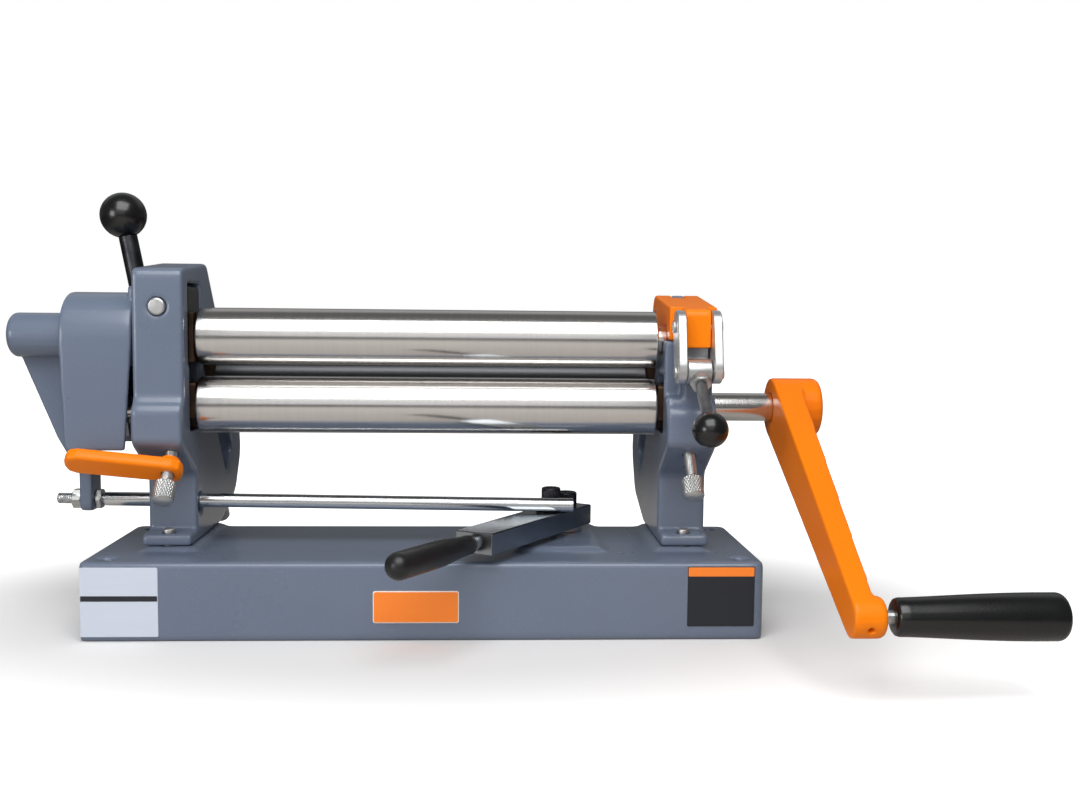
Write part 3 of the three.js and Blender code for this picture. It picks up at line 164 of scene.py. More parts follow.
def enamel(name, colour, deep, pale, roughness, gloss, bareFrom=None):
    look = Look(name, **{
        "Coat Weight": gloss, "Coat Roughness": coat["rough"], "Specular IOR Level": gloss})
    cloud = look.noise(coat["clouds"], 4.0)
    fleck = look.noise(coat["flecks"], 2.0)
    peel = look.noise(coat["peel"], 2.0)
    base = look.mix(cloud.between(0.15, 0.85), shade(deep), shade(colour))
    colours = look.mix(fleck.between(0.55, 0.85) * coat["fleckShare"], base, shade(pale))
    rough = look.noise(coat["dull"]) * coat["dullShare"] + roughness
    # painted shade: past that x the colour turns nearly black, for the shade inside the frame's window
    if bareFrom:
        bare = look.axes()[0].between(bareFrom - coat["bareEdge"], bareFrom + coat["bareEdge"])
        colours = look.mix(bare, colours, shade(coat["bare"]))
        rough = rough + bare * coat["bareRough"]
    height = peel + look.noise(coat["ripple"], 2.0) * coat["rippleShare"]
    return look.feed(Base_Color=colours, Roughness=rough, Normal=look.bump(height, coat["depth"]))


# Ground steel: fine rings round the roll, as streaks that change only along it.
grind = {"rollWay": (1.0, 0.02, 0.02), "plateWay": (1.0, 0.5, 0.2), "barWay": (0.6, 1.0, 0.3),
         "pale": 1.2, "lineShare": 0.05, "broad": 14.0, "broadShare": 0.012}


def groundSteel(name, colour, roughness, rings, depth, edge=0.0, way=grind["rollWay"]):
    look = Look(name, Metallic=1.0)
    lines = look.noise(rings, 3.0, 0.6, stretch=way)
    broad = look.noise(grind["broad"])
    return look.feed(
        Base_Color=look.mix(lines, shade(colour), paler(colour, grind["pale"])),
        Roughness=lines * grind["lineShare"] + broad * grind["broadShare"] + roughness,
        Normal=look.bump(lines, depth, edge))


# Plated or turned metal: cloudy in colour, finely grained, with edges rounded by the shader.
plate = {"clouds": 70.0, "grain": 240.0, "grainShare": 0.16, "pits": 420.0, "depth": 0.00002}


def plated(name, colour, dark, roughness, edge=0.0003):
    look = Look(name, Metallic=1.0)
    cloud = look.noise(plate["clouds"], 4.0)
    return look.feed(
        Base_Color=look.mix(cloud.between(0.3, 0.75), shade(dark), shade(colour)),
        Roughness=look.noise(plate["grain"]) * plate["grainShare"] + roughness,
        Normal=look.bump(look.noise(plate["pits"]), plate["depth"], edge))


# Moulded plastic: nearly one colour, a little paler in patches.
mould = {"coatShare": 0.6, "patches": 30.0, "pale": 1.5, "lift": 0.002, "dull": 120.0,
         "dullShare": 0.08, "ripple": 90.0, "depth": 0.00003}


def plastic(name, colour, roughness, gloss):
    look = Look(name, **{"Coat Weight": gloss, "Coat Roughness": roughness * mould["coatShare"]})
    pale = tuple(v * mould["pale"] + mould["lift"] for v in shade(colour))
    return look.feed(
        Base_Color=look.mix(look.noise(mould["patches"]), shade(colour), pale),
        Roughness=look.noise(mould["dull"]) * mould["dullShare"] + roughness,
        Normal=look.bump(look.noise(mould["ripple"]), mould["depth"]))


finishes = {
    "frame_grey": enamel("greyEnamel", "6a7689", "657084", "808d9f", 0.24, 0.4),
    # the tail's enamel has painted shade on the tongue's end inside the frame's window, past x = -197.5 mm
    "tail_grey": enamel("tailEnamel", "6a7689", "657084", "808d9f", 0.24, 0.4, -0.1975),
    "safety_orange": enamel("orangeEnamel", "fc8504", "fa7c02", "fe960c", 0.34, 0.16),
    "roll_ground": groundSteel("groundRolls", "d3d1cf", 0.16, 900.0, 0.0000008),
    # painted shade: the rear roll's steel is a darker copy of the front rolls' steel, for the shade it lies in
    # behind them
    "roll_painted_shade": groundSteel("shadedRollSteel", "5c5d60", 0.3, 900.0, 0.000002),
    "plate_ground": groundSteel("groundPlate", "d2d4d6", 0.14, 260.0, 0.000002, 0.0004, grind["plateWay"]),
    "link_ground": groundSteel("groundLinks", "dcdedf", 0.36, 260.0, 0.000002, 0.0004, grind["plateWay"]),
    "bar_ground": groundSteel("groundBar", "9a9fa3", 0.2, 160.0, 0.000002, 0.0004, grind["barWay"]),
    "zinc": plated("zincPlate", "dedfdd", "bfc1c1", 0.32),
    "bronze": plated("sawnBronze", "5c4638", "3e2f26", 0.38, 0.0004),
    "blackened": plated("blackenedSteel", "515256", "333438", 0.3),
    "black_plastic": plastic("blackGloss", "08090a", 0.24, 0.3),
    "black_satin": plastic("blackSatin", "0d0e11", 0.38, 0.12),
    "steel": plated("turnedSteel", "a5a6a8", "7d7f83", 0.28),
}
otherFinish = {  # nodes whose finish differs from their slot's
    "pull_rod": "plate_ground", "lever_bar": "bar_ground", "latch_link_inner": "link_ground",
    # the rear roll gets the darker steel: painted shade
    "latch_link_outer": "link_ground", "rear_roll": "roll_painted_shade", "tail_casting": "tail_grey",
    "lever_grip": "black_satin",
}
for part in frame["record"]["subparts"]:
    node = frame["nodes"][part["node"]]
    node.data.materials.clear()
    node.data.materials.append(finishes[otherFinish.get(part["node"], part["material_slot"])])
print("finishes on the CAD nodes")

bodies = frame["record"]["behaviour"]["bodies"]
bodyOf = {node: body for body, nodes in bodies.items() for node in nodes}
slotOf = {part["node"]: part["material_slot"] for part in frame["record"]["subparts"]}


def unit(way):
    return np.array(way, float) / np.linalg.norm(way)


# A mesh from places in millimetres and faces; edges sharper than the angle stay sharp.
def meshPiece(name, places, faces, node, finish=None, angle=38.0, body=None):
    data = bpy.data.meshes.new(name)
    data.from_pydata((np.asarray(places) * mm).tolist(), [], [list(face) for face in faces])
    data.shade_smooth()
    data.set_sharp_from_angle(angle=math.radians(angle))
    data.materials.append(finish or finishes[otherFinish.get(node, slotOf[node])])
    piece = bpy.data.objects.new(name, data)
    bpy.context.scene.collection.objects.link(piece)
    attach(piece, body or bodyOf[node])
    return piece


# Each inner corner of a profile becomes a curve whose ends lie a radius away from it:
# point(t) = (1-t)^2 a + 2t(1-t) corner + t^2 b.
def softened(rows, radius, steps=4):
    rows = np.array(rows, float)
    before, corner, after = rows[:-2], rows[1:-1], rows[2:]

    def towards(goal):
        gap = np.linalg.norm(goal - corner, axis=1, keepdims=True)
        return corner + (goal - corner) * np.minimum(radius / np.maximum(gap, 1e-9), 0.49)
    a, b = towards(before), towards(after)
    t = np.linspace(0, 1, steps + 1)[None, :, None]
    curves = (1 - t) ** 2 * a[:, None] + 2 * t * (1 - t) * corner[:, None] + t ** 2 * b[:, None]
    return np.vstack([rows[:1], curves.reshape(-1, 2), rows[-1:]])


# Turned places: place = start + way*distance + radius*(cos(turn) u + sin(turn) v), with
# the radius of each row changed by a function of distance and turn where one is given.
def turnedPlaces(rows, start, way, count, shape=None):
    rows = np.asarray(rows, float)
    way = unit(way)
    u = unit(np.cross(way, (1, 0, 0) if abs(way[0]) < 0.9 else (0, 1, 0)))
    v = np.cross(way, u)
    turn = np.linspace(0, 2 * np.pi, count, endpoint=False)
    distance = np.repeat(rows[:, :1], count, axis=1)
    radius = np.repeat(rows[:, 1:2], count, axis=1)
    if shape:
        radius = shape(distance, turn[None, :] + 0 * distance, radius)
    return (np.asarray(start) + distance[..., None] * way
            + radius[..., None] * (np.cos(turn)[None, :, None] * u + np.sin(turn)[None, :, None] * v))


# The quads between rings of one count: each ring joins the next of a list that may close on itself.
def ringQuads(rings, count, closed):
    ring, spot = np.meshgrid(np.arange(rings if closed else rings - 1), np.arange(count), indexing="ij")
    near, far = ring * count, ((ring + 1) % rings) * count
    ahead = (spot + 1) % count
    return np.stack([near + spot, near + ahead, far + ahead, far + spot], -1).reshape(-1, 4).tolist()


# A turned piece closed at both ends: the profile's first and last rows are its poles.
def turnedPiece(name, node, rows, start, way, count=64, shape=None, soft=0.4, finish=None, angle=38.0):
    rows = softened(rows, soft) if soft else np.asarray(rows, float)
    places = turnedPlaces(rows, start, way, count, shape)
    rings = len(rows) - 2
    spots = np.arange(count)
    nexts = (spots + 1) % count
    last = (rings - 1) * count
    first = np.stack([np.full(count, rings * count), nexts, spots], 1).tolist()
    final = np.stack([np.full(count, rings * count + 1), last + spots, last + nexts], 1).tolist()
    places = np.vstack([places[1:-1].reshape(-1, 3), places[0, :1], places[-1, :1]])
    return meshPiece(name, places, ringQuads(rings, count, False) + first + final, node, finish, angle)


def corner(node):
    low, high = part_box(node)
    return np.array(low) / mm, np.array(high) / mm


# The rolls.
rolls = {
    "radius": 20.0, "journal": 10.0, "chamfer": 1.0, "half": 160.0, "count": 128, "fillet": 0.5,
    "seat": 9.0, "tip": 8.0, "gearLow": -234.3, "gearHigh": -211.7,
}


def rollRows(low, high, left):
    r, j, c, h = rolls["radius"], rolls["journal"], rolls["chamfer"], rolls["half"]
    barrel = [(-h, j), (-h, r - c), (c - h, r), (h - c, r), (h, r - c), (h, j)]
    return [(low, 0)] + left + barrel + [(high - c, j), (high, j - c), (high, 0)]


def makeRolls():
    j, c = rolls["journal"], rolls["chamfer"]
    seat, tip = rolls["seat"], rolls["tip"]
    gearLow, gearHigh = rolls["gearLow"], rolls["gearHigh"]
    for node in ("upper_roll", "lower_roll", "rear_roll"):
        low, high = corner(node)
        middle = (0, (low[1] + high[1]) / 2, (low[2] + high[2]) / 2)
        left = {
            "upper_roll": [(low[0], tip - c), (low[0] + c, tip), (gearLow, tip), (gearLow, seat),
                           (gearHigh, seat), (gearHigh, j)],
            "lower_roll": [(low[0], seat - c), (low[0] + c, seat), (gearHigh, seat), (gearHigh, j)],
            "rear_roll": [(low[0], j - c), (low[0] + c, j)],
        }[node]
        rows = rollRows(low[0], high[0], left)
        piece = turnedPiece(node + "_ground", node, rows, middle, (1, 0, 0), rolls["count"],
                            soft=rolls["fillet"])
        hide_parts(node)
    print("rolls made")


makeRolls()

# Threads and knurls: a thread's radius rises as a triangle wave of distance/pitch less
# turn/2pi; a knurl is the lower of two triangle waves that cross.
screws = {
    "pitch": 1.25, "thread": 0.55, "knurlDepth": 0.75, "knurlCount": 24, "knurlPitch": 3.6,
    "radius": 7.3, "length": 15.0, "chamfer": 0.8, "shank": 4.0, "tip": 2.5, "tipLength": 7.0,
    "tipAt": 16.0, "count": 180, "step": 0.34, "shankStep": 0.75, "face": 1.2, "lip": 0.6,
    "lipHigh": 0.5, "plain": 0.4,
    "places": (("left_thumb_screw", -173.5, 67.0), ("right_thumb_screw", 181.0, 62.5),
               ("left_rear_screw", -181.0, 138.0), ("right_rear_screw", 181.0, 138.0)),
    "front": (-6.6, 154.0), "rear": (50.0, 166.0),
}


def wave(value):  # a triangle wave from 0 to 1 and back
    return 1 - np.abs(2 * (value % 1) - 1)


def fadeIn(distance, low, high, run):
    return np.clip((distance - low) / run, 0, 1) * np.clip((high - distance) / run, 0, 1)


def knurled(distance, turn, radius, low, high):
    s = screws
    around = turn / (2 * np.pi) * s["knurlCount"]
    along = (distance - low) / s["knurlPitch"]
    height = np.minimum(wave(around + along), wave(around - along))
    return radius - s["knurlDepth"] * (1 - height) * fadeIn(distance, low, high, s["chamfer"])


def threaded(distance, turn, radius, low, high, pitch, depth, fade=1.2):
    height = wave(distance / pitch - turn / (2 * np.pi))
    return radius - depth * (1 - height) * fadeIn(distance, low, high, fade)


def dense(low, high, radius, step):
    return [(d, radius) for d in np.arange(low, high, step)[1:]]


# A screw is turned from the end of its knurled head, through the thread, to its plain tip.
def makeScrew(node, side, head):
    s = screws
    y, z = s["front"] if "thumb" in node else s["rear"]
    joint = "left_screw_feed" if "thumb" in node else "rear_bend"
    way = [j for j in frame["joints"] if j["name"] == joint][0]["axis"]
    start = head + s["length"]
    full = start - s["tipAt"]
    neck = full - s["tipLength"]
    r, c, end = s["radius"], s["chamfer"], s["length"]
    rows = [(0, 0), (0, r - c - s["face"]), (s["lipHigh"], r - c - s["lip"]), (s["lipHigh"], r - c),
            (c + s["plain"], r)]
    rows += dense(c + s["plain"], end - c, r, s["step"])
    rows += [(end - c, r), (end, r - c), (end, s["shank"])]
    rows += dense(end, neck - c, s["shank"], s["step"] * s["shankStep"])
    rows += [(neck - c, s["shank"]), (neck, s["tip"]), (full, s["tip"]), (full + 0.001, 0)]

    def shape(distance, turn, radius):
        top = knurled(distance, turn, radius, c, end - s["plain"])
        shank = threaded(distance, turn, radius, end, neck, s["pitch"], s["thread"])
        onHead = (distance < end - 0.3) & (radius > r - same)
        onShank = (distance > end + 0.1) & (np.abs(radius - s["shank"]) < same)
        return np.where(onHead, top, np.where(onShank, shank, radius))
    place = np.array([side, y, z]) - unit(way) * start
    piece = turnedPiece(node + "_knurled", node, rows, place, way, s["count"], shape, soft=0, angle=50)
    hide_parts(node)


for where in screws["places"]:
    makeScrew(*where)
print("screws made")

# The two balls, each at the end of a rod that leans or hangs by an angle in degrees.
balls = {
    "tail": 16.0, "tailRod": 6.5, "latch": 11.75, "latchRod": 4.0, "tailLean": 11.0, "tailRise": 59.0,
    "leverDown": 37.4, "reach": 58.5, "camX": 184.0, "camY": -47.5, "camZ": 181.5, "steps": 40,
    "count": 72,
}


# A ball with a small flat where its rod enters: radius(t) = R sin(t), distance = -R cos(t).
def makeBall(node, radius, rodRadius, middle, way):
    t = np.linspace(math.asin(rodRadius / radius), np.pi, balls["steps"])
    curve = np.stack([-radius * np.cos(t), radius * np.sin(t)], 1)
    rows = np.vstack([[(-radius * math.cos(t[0]), 0)], curve])
    rows[-1, 1] = 0
    piece = turnedPiece(node + "_round", node, rows, middle, unit(way), balls["count"], soft=0)
    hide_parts(node)


tailWay = (-math.sin(math.radians(balls["tailLean"])), 0, math.cos(math.radians(balls["tailLean"])))
leverWay = (0, -math.cos(math.radians(balls["leverDown"])), -math.sin(math.radians(balls["leverDown"])))
camSpot = np.array([balls["camX"], balls["camY"], balls["camZ"]])
tailLow, tailHigh = corner("tail_handle_ball")
tailMiddle = tailHigh - balls["tail"]
tailMiddle[1] = (tailLow[1] + tailHigh[1]) / 2
latchMiddle = camSpot + unit(leverWay) * balls["reach"]
makeBall("tail_handle_ball", balls["tail"], balls["tailRod"], tailMiddle, tailWay)
makeBall("latch_ball", balls["latch"], balls["latchRod"], latchMiddle, leverWay)
print("balls made")

# A cast piece: its CAD solid's copy is remeshed in small cubes of one width and smoothed a number of
# rounds, so that each edge becomes a round about twice that width. Where a point's normal lies along
# an axis, the point then goes back to the nearest place on the solid: flat faces stay flat.
casts = {
    "base_casting": (1.87, 6), "left_frame": (1.23, 7), "right_frame": (1.23, 7),
    "tail_casting": (1.13, 7), "roll_cap": (0.8, 6), "crank_arm": (1.0, 6), "lock_lever": (0.7, 5),
}
castEase = {"share": 0.5, "level": 0.993, "rounds": 2}  # a cosine above level is along an axis


def pointsOf(data):
    places = np.empty(len(data.vertices) * 3, np.float32)
    data.vertices.foreach_get("co", places)
    return places.reshape(-1, 3) / mm


def applied(piece):
    made = piece.evaluated_get(bpy.context.evaluated_depsgraph_get())
    data = bpy.data.meshes.new_from_object(made)
    piece.modifiers.clear()
    piece.data = data
    return data


def makeCast(node, width, rounds):
    piece = bpy.data.objects.new(node + "_cast", frame["nodes"][node].data.copy())
    bpy.context.scene.collection.objects.link(piece)
    remesh = piece.modifiers.new("cubes", "REMESH")
    remesh.mode, remesh.voxel_size, remesh.use_smooth_shade = "VOXEL", width * mm, True
    smooth = piece.modifiers.new("soften", "SMOOTH")
    smooth.factor, smooth.iterations = castEase["share"], rounds
    data = applied(piece)
    normals = np.empty(len(data.vertices) * 3, np.float32)
    data.vertex_normals.foreach_get("vector", normals)
    level = np.flatnonzero(np.abs(normals.reshape(-1, 3)).max(1) > castEase["level"])
    piece.vertex_groups.new(name="level").add(level.tolist(), 1.0, "REPLACE")
    wrap = piece.modifiers.new("flatten", "SHRINKWRAP")
    wrap.wrap_method, wrap.vertex_group = "NEAREST_SURFACEPOINT", "level"
    wrap.target = frame["nodes"][node]
    ease = piece.modifiers.new("ease", "SMOOTH")
    ease.factor, ease.iterations = castEase["share"], castEase["rounds"]
    data = applied(piece)
    piece.vertex_groups.clear()
    data.materials.clear()
    data.materials.append(finishes[otherFinish.get(node, slotOf[node])])
    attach(piece, bodyOf[node])
    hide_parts(node)
    return len(data.polygons)


print("cast pieces:", {node: makeCast(node, *how) for node, how in casts.items()})

# Bronze blocks: the small chamfer at each long corner is drawn out to a sharp corner, which is rounded.
blocks = {"nodes": ("left_lower_block", "right_lower_block"), "round": 2.4, "steps": 4, "near": 0.6}


# y and z of a point that is near both a y side and a z side of the block's box become those sides'.
def squared(places, low, high):
    nearer = np.where(np.abs(places - low) < np.abs(places - high), low, high)
    atCorner = (np.abs(places - nearer)[:, 1:] < blocks["near"]).all(1)
    places[atCorner, 1:] = nearer[atCorner, 1:]
    return places


# The edges that get rounded run along X and have both ends at a y side and a z side of the box.
def makeBlock(node):
    data = frame["nodes"][node].data.copy()
    piece = bpy.data.objects.new(node + "_sawn", data)
    bpy.context.scene.collection.objects.link(piece)
    low, high = corner(node)
    data.vertices.foreach_set("co", (squared(pointsOf(data), low, high) * mm).ravel())
    piece.modifiers.new("weld", "WELD").merge_threshold = same * mm
    flat = piece.modifiers.new("join", "DECIMATE")
    flat.decimate_type, flat.angle_limit = "DISSOLVE", math.radians(1)
    data = applied(piece)
    places = pointsOf(data)
    ends = np.empty(len(data.edges) * 2, np.int32)
    data.edges.foreach_get("vertices", ends)
    first, second = places[ends[::2]], places[ends[1::2]]
    along = np.abs(first - second)[:, 1:].max(1) < same
    sides = np.minimum(np.abs(first - low), np.abs(first - high))[:, 1:].max(1) < same
    weight = data.attributes.new("bevel_weight_edge", "FLOAT", "EDGE")
    weight.data.foreach_set("value", (along & sides).astype(np.float32))
    bevel = piece.modifiers.new("corners", "BEVEL")
    bevel.width, bevel.segments = blocks["round"] * mm, blocks["steps"]
    bevel.limit_method, bevel.use_clamp_overlap = "WEIGHT", False
    data = applied(piece)
    data.materials.clear()
    data.materials.append(finishes[slotOf[node]])
    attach(piece, bodyOf[node])
    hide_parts(node)
    return int((along & sides).sum())


print("blocks rounded:", [makeBlock(node) for node in blocks["nodes"]])


# A hexagon's radius at a turn: half its width over flats / cos(turn from the middle of a flat).
def hexRadius(turn, flats):
    return flats / 2 / np.cos((turn + np.pi / 6) % (np.pi / 3) - np.pi / 6)


# A nut: the profile closes on itself, so the piece has a bore; its ends are turned to a cone.
nuts = {"across": 1.155, "cone": 0.54, "face": 0.2, "wall": 0.1, "count": 72}


def hexNut(node, start, way, flats, height, bore):
    full, c, face = flats / 2 * nuts["across"], nuts["cone"], flats / 2 - nuts["face"]

    def shape(distance, turn, radius):
        outside = radius > bore + nuts["wall"]
        return np.where(outside, np.minimum(radius, hexRadius(turn, flats)), radius)
    rows = [(0, bore), (0, face), (c, full), (height - c, full), (height, face), (height, bore)]
    places = turnedPlaces(rows, start, way, nuts["count"], shape).reshape(-1, 3)
    quads = ringQuads(len(rows), nuts["count"], True)
    piece = meshPiece(node + "_turned", places, quads, node, angle=25)
    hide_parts(node)


# A cap screw: a knurled head with a hexagon socket on a plain shank. Each has its head's and
# shank's diameter and its head's height.
capScrews = {
    "socketShare": 0.28, "depth": 5.0, "knurl": 0.25, "ribs": 36, "edge": 1.0, "lead": 0.6, "foot": 0.5,
    "step": 0.6, "mouth": 0.4, "crown": 0.35, "fade": 0.8, "count": 144,
    "screws": (("lever_pivot_screw", 16.0, 10.0, 10.0), ("link_screw", 14.1, 10.0, 8.0)),
}


def makeCapScrew(node, head, height, shank):
    p = capScrews
    low, high = corner(node)
    middle = ((low[0] + high[0]) / 2, (low[1] + high[1]) / 2, low[2])
    full = high[2] - low[2]
    seat = full - height
    r, e, foot = head / 2, p["edge"], seat + p["foot"]
    socket, bottom = head * p["socketShare"], full - p["depth"]
    rows = [(0, 0), (0, shank / 2 - p["lead"]), (p["lead"], shank / 2), (seat, shank / 2),
            (seat, r - p["foot"]), (foot, r)]
    rows += dense(foot, full - e, r, p["step"])
    rows += [(full - e, r), (full - e * p["mouth"], r - p["crown"]), (full, r - e),
             (full, socket + p["foot"]), (full - p["mouth"], socket), (bottom, socket),
             (bottom - p["lead"], 0)]

    def shape(distance, turn, radius):
        rib = wave(turn / (2 * np.pi) * p["ribs"]) * fadeIn(distance, foot, full - e, p["fade"])
        inner = np.minimum(radius * nuts["across"], hexRadius(turn, 2 * socket))
        onHead = (radius > r - same) & (distance > seat)
        return np.where(onHead, radius - p["knurl"] * rib,
                        np.where(np.abs(radius - socket) < same, inner, radius))
    piece = turnedPiece(node + "_knurled", node, rows, middle, (0, 0, 1), p["count"], shape,
                        soft=0, angle=35)
    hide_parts(node)


for capScrew in capScrews["screws"]:
    makeCapScrew(*capScrew)


def turnedNode(node, rows, start, way, count=72, soft=0.4, shape=None, finish=None):
    piece = turnedPiece(node + "_smooth", node, rows, start, way, count, shape, soft, finish)
    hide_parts(node)


# The front foot bolts show a low dome on each foot: height and radius follow a quarter turn's sine
# and cosine. The rear ones, under the deck, keep their CAD meshes.
feet = {"inset": 181.0, "frontY": -16.0, "headZ": 64.9, "radius": 4.6, "height": 3.2, "shank": 4.0,
        "reach": 15.5, "lead": 0.6, "steps": 8}


def makeFootBolts():
    f = feet
    t = np.linspace(0, np.pi / 2, f["steps"])
    dome = np.stack([f["height"] * (0.5 + 0.5 * np.sin(t)), f["radius"] * np.cos(t)], 1)
    bottom, shank = -f["reach"], f["shank"]
    rows = [(bottom, 0), (bottom, shank - f["lead"]), (bottom + f["lead"], shank), (0, shank),
            (0, f["radius"])] + dome.tolist()[:-1] + [(f["height"], 0)]
    for hand, side in (("left", -f["inset"]), ("right", f["inset"])):
        turnedNode(hand + "_front_foot_bolt", rows, (side, f["frontY"], f["headZ"]), (0, 0, 1), soft=0)


makeFootBolts()
print("screws and bolts made")

# The tail's turned pieces: the ball's leaning rod and the pin that the tail tilts on.
tailParts = {
    "x": 206.5, "y": 14.0, "axisY": -6.6, "axisZ": 201.5, "case": 30.0, "seat": 5.0, "rod": 6.5,
    "spigot": 4.0, "start": 7.4, "gap": 0.3,
    "pin": 6.0, "pinX": -181.0, "pinFace": 1.2, "pinLip": (0.5, 0.35), "pinLead": 1.4, "pinEnd": 1.0,
    "pinSoft": 0.3,
}


def makeTailParts():
    t = tailParts
    caseTop = t["axisZ"] + math.sqrt(t["case"] ** 2 - (t["y"] - t["axisY"]) ** 2)
    foot = np.array([-t["x"], t["y"], caseTop + t["seat"]])
    full = t["start"] + balls["tailRise"] - math.sqrt(balls["tail"] ** 2 - t["rod"] ** 2) - t["gap"]
    lean = math.cos(math.radians(balls["tailLean"]))
    neck = t["start"] + t["gap"]
    rows = [(0, 0), (0, t["spigot"]), (neck, t["spigot"]), (neck, t["rod"]), (full, t["rod"] * lean),
            (full, 0)]
    turnedNode("tail_handle_rod", rows, foot - unit(tailWay) * t["start"], tailWay)
    low, high = corner("tilt_pin")
    r, long, end, (lip, drop) = t["pin"], high[1] - low[1], t["pinEnd"], t["pinLip"]
    rows = [(0, 0), (0, r - t["pinFace"]), (lip, r - drop), (t["pinLead"], r), (long - end, r),
            (long, r - end), (long, 0)]
    place = (t["pinX"], low[1], (low[2] + high[2]) / 2)
    turnedNode("tilt_pin", rows, place, (0, 1, 0), soft=t["pinSoft"])


makeTailParts()

# The pull rod and its nuts: the rod falls a little from the tail to the hand lever.
pullParts = {
    "y": 4.5, "left": -264.0, "shoulder": -231.0, "right": 104.0, "leftZ": 85.0, "rightZ": 80.8,
    "lug": -241.5, "radius": 5.0, "thread": 4.0, "pitch": 1.25, "depth": 0.5, "step": 0.3,
    "lead": 0.8, "shoulderLead": 0.5, "end": 0.7, "slack": 0.15, "count": 96, "across": 13.0,
    "nuts": (("rod_nut", -253.0, 6.5), ("rod_lock_nut", -236.5, 4.0)),
}
pullRise = (pullParts["rightZ"] - pullParts["leftZ"]) / (pullParts["right"] - pullParts["lug"])
pullWay = unit((1, 0, pullRise))


def onPull(x):
    return np.array([x, pullParts["y"], pullParts["leftZ"] + pullRise * (x - pullParts["lug"])])


def makePullRod():
    p = pullParts
    step = p["shoulder"] - p["left"]
    full = p["right"] - p["left"]
    thin, thick, lead, rise, end = p["thread"], p["radius"], p["lead"], p["shoulderLead"], p["end"]
    rows = [(0, 0), (0, thin - lead), (lead, thin)] + dense(lead, step, thin, p["step"])
    rows += [(step, thin), (step, thick - rise), (step + rise, thick), (full - end, thick),
             (full, thick - end), (full, 0)]

    def shape(distance, turn, radius):
        cut = threaded(distance, turn, radius, lead / 2, step, p["pitch"], p["depth"])
        return np.where((np.abs(radius - thin) < same) & (distance < step), cut, radius)
    turnedNode("pull_rod", rows, onPull(p["left"]), pullWay, p["count"], 0, shape)
    for node, at, height in p["nuts"]:
        hexNut(node, onPull(at), pullWay, p["across"], height, thin + p["slack"])


makePullRod()

# Grips: the hand lever's swells as 3s^2 - 2s^3 and ends in a round nose of r*cos(t); the crank's
# swells as a sine to a power and ends in a small crown. Angles are in degrees.
grips = {
    "lever": {"at": (101.0, 40.0, 67.5), "lean": 32.0, "start": 135.0, "length": 87.0, "radius": 8.75,
              "neck": 6.5, "edge": 0.8, "from": 1.0, "swell": 40.0, "steps": 14, "count": 72},
    "crank": {"length": 98.5, "inner": 11.0, "outer": 13.75, "arm": 221.0, "drop": 27.6,
              "start": 268.5, "axis": (-6.6, 154.0), "foot": ((0.0, 3.0), (0.3, 1.8), (1.2, 0.6)),
              "from": 3.0, "to": 13.0, "power": 1.3, "crown": 5.0, "steps": 20, "crownSteps": 8,
              "count": 96},
}


def makeLeverGrip():
    g = grips["lever"]
    lean, r, neck = math.radians(g["lean"]), g["radius"], g["neck"]
    way = np.array([-math.sin(lean), -math.cos(lean), 0])
    t = np.linspace(0, np.pi / 2, g["steps"])
    nose = np.stack([g["length"] - r + r * np.sin(t), r * np.cos(t)], 1)
    share = np.linspace(0, 1, g["steps"])[1:]
    thicker = neck + (r - neck) * (3 * share ** 2 - 2 * share ** 3)
    swell = np.stack([g["from"] + share * g["swell"], thicker], 1)
    rows = [(0, 0), (0, neck - g["edge"]), (g["from"], neck)] + swell.tolist() + nose.tolist()[:-1]
    rows += [(g["length"], 0)]
    turnedNode("lever_grip", rows, np.array(g["at"]) + way * g["start"], way, g["count"], 0)


def makeCrankGrip():
    g = grips["crank"]
    drop, crown, inner = math.radians(g["drop"]), g["crown"], g["inner"]
    y, z = g["axis"]
    start = (g["start"], y - g["arm"] * math.cos(drop), z - g["arm"] * math.sin(drop))
    share = np.linspace(0, 1, g["steps"])
    swell = np.sin(share * np.pi / 2) ** g["power"]
    body = np.stack([g["from"] + share * (g["length"] - g["from"] - g["to"]),
                     inner + (g["outer"] - inner) * swell], 1)
    t = np.linspace(0, np.pi / 2, g["crownSteps"])
    end = np.stack([g["length"] - crown + crown * np.sin(t), g["outer"] - crown + crown * np.cos(t)], 1)
    foot = [(at, inner - drawn) for at, drawn in g["foot"]]
    rows = [(0, 0)] + foot + body.tolist() + end.tolist() + [(g["length"], 0)]
    turnedNode("crank_grip", rows, start, (1, 0, 0), g["count"], 0)


makeLeverGrip()
makeCrankGrip()

# The latch: barrel, lever rod and nut lie on lines through the barrel's middle. The links are
# stadium plates, and a thin plate lies behind the barrel on the right frame.
latchParts = {
    "barrel": 8.5, "wide": 17.0, "start": 175.5, "edge": 0.8, "soft": 0.2, "count": 96,
    "rod": 4.0, "neck": 3.0, "rodEdge": 0.4, "rodCount": 64, "gap": 0.3, "nut": 13.0, "nutHigh": 6.0,
    "slack": 0.15,
    "link": 11.5, "upper": (-41.0, 211.3), "lower": (-48.0, 184.5), "thick": 6.0, "linkEdge": 0.6,
    "links": (("latch_link_inner", 168.9), ("latch_link_outer", 193.1)),
    "seat": {"box": (176.2, 184.0, 191.8, 203.5), "round": 0.8, "y": -40.0, "thick": 0.3, "edge": 0.1},
}


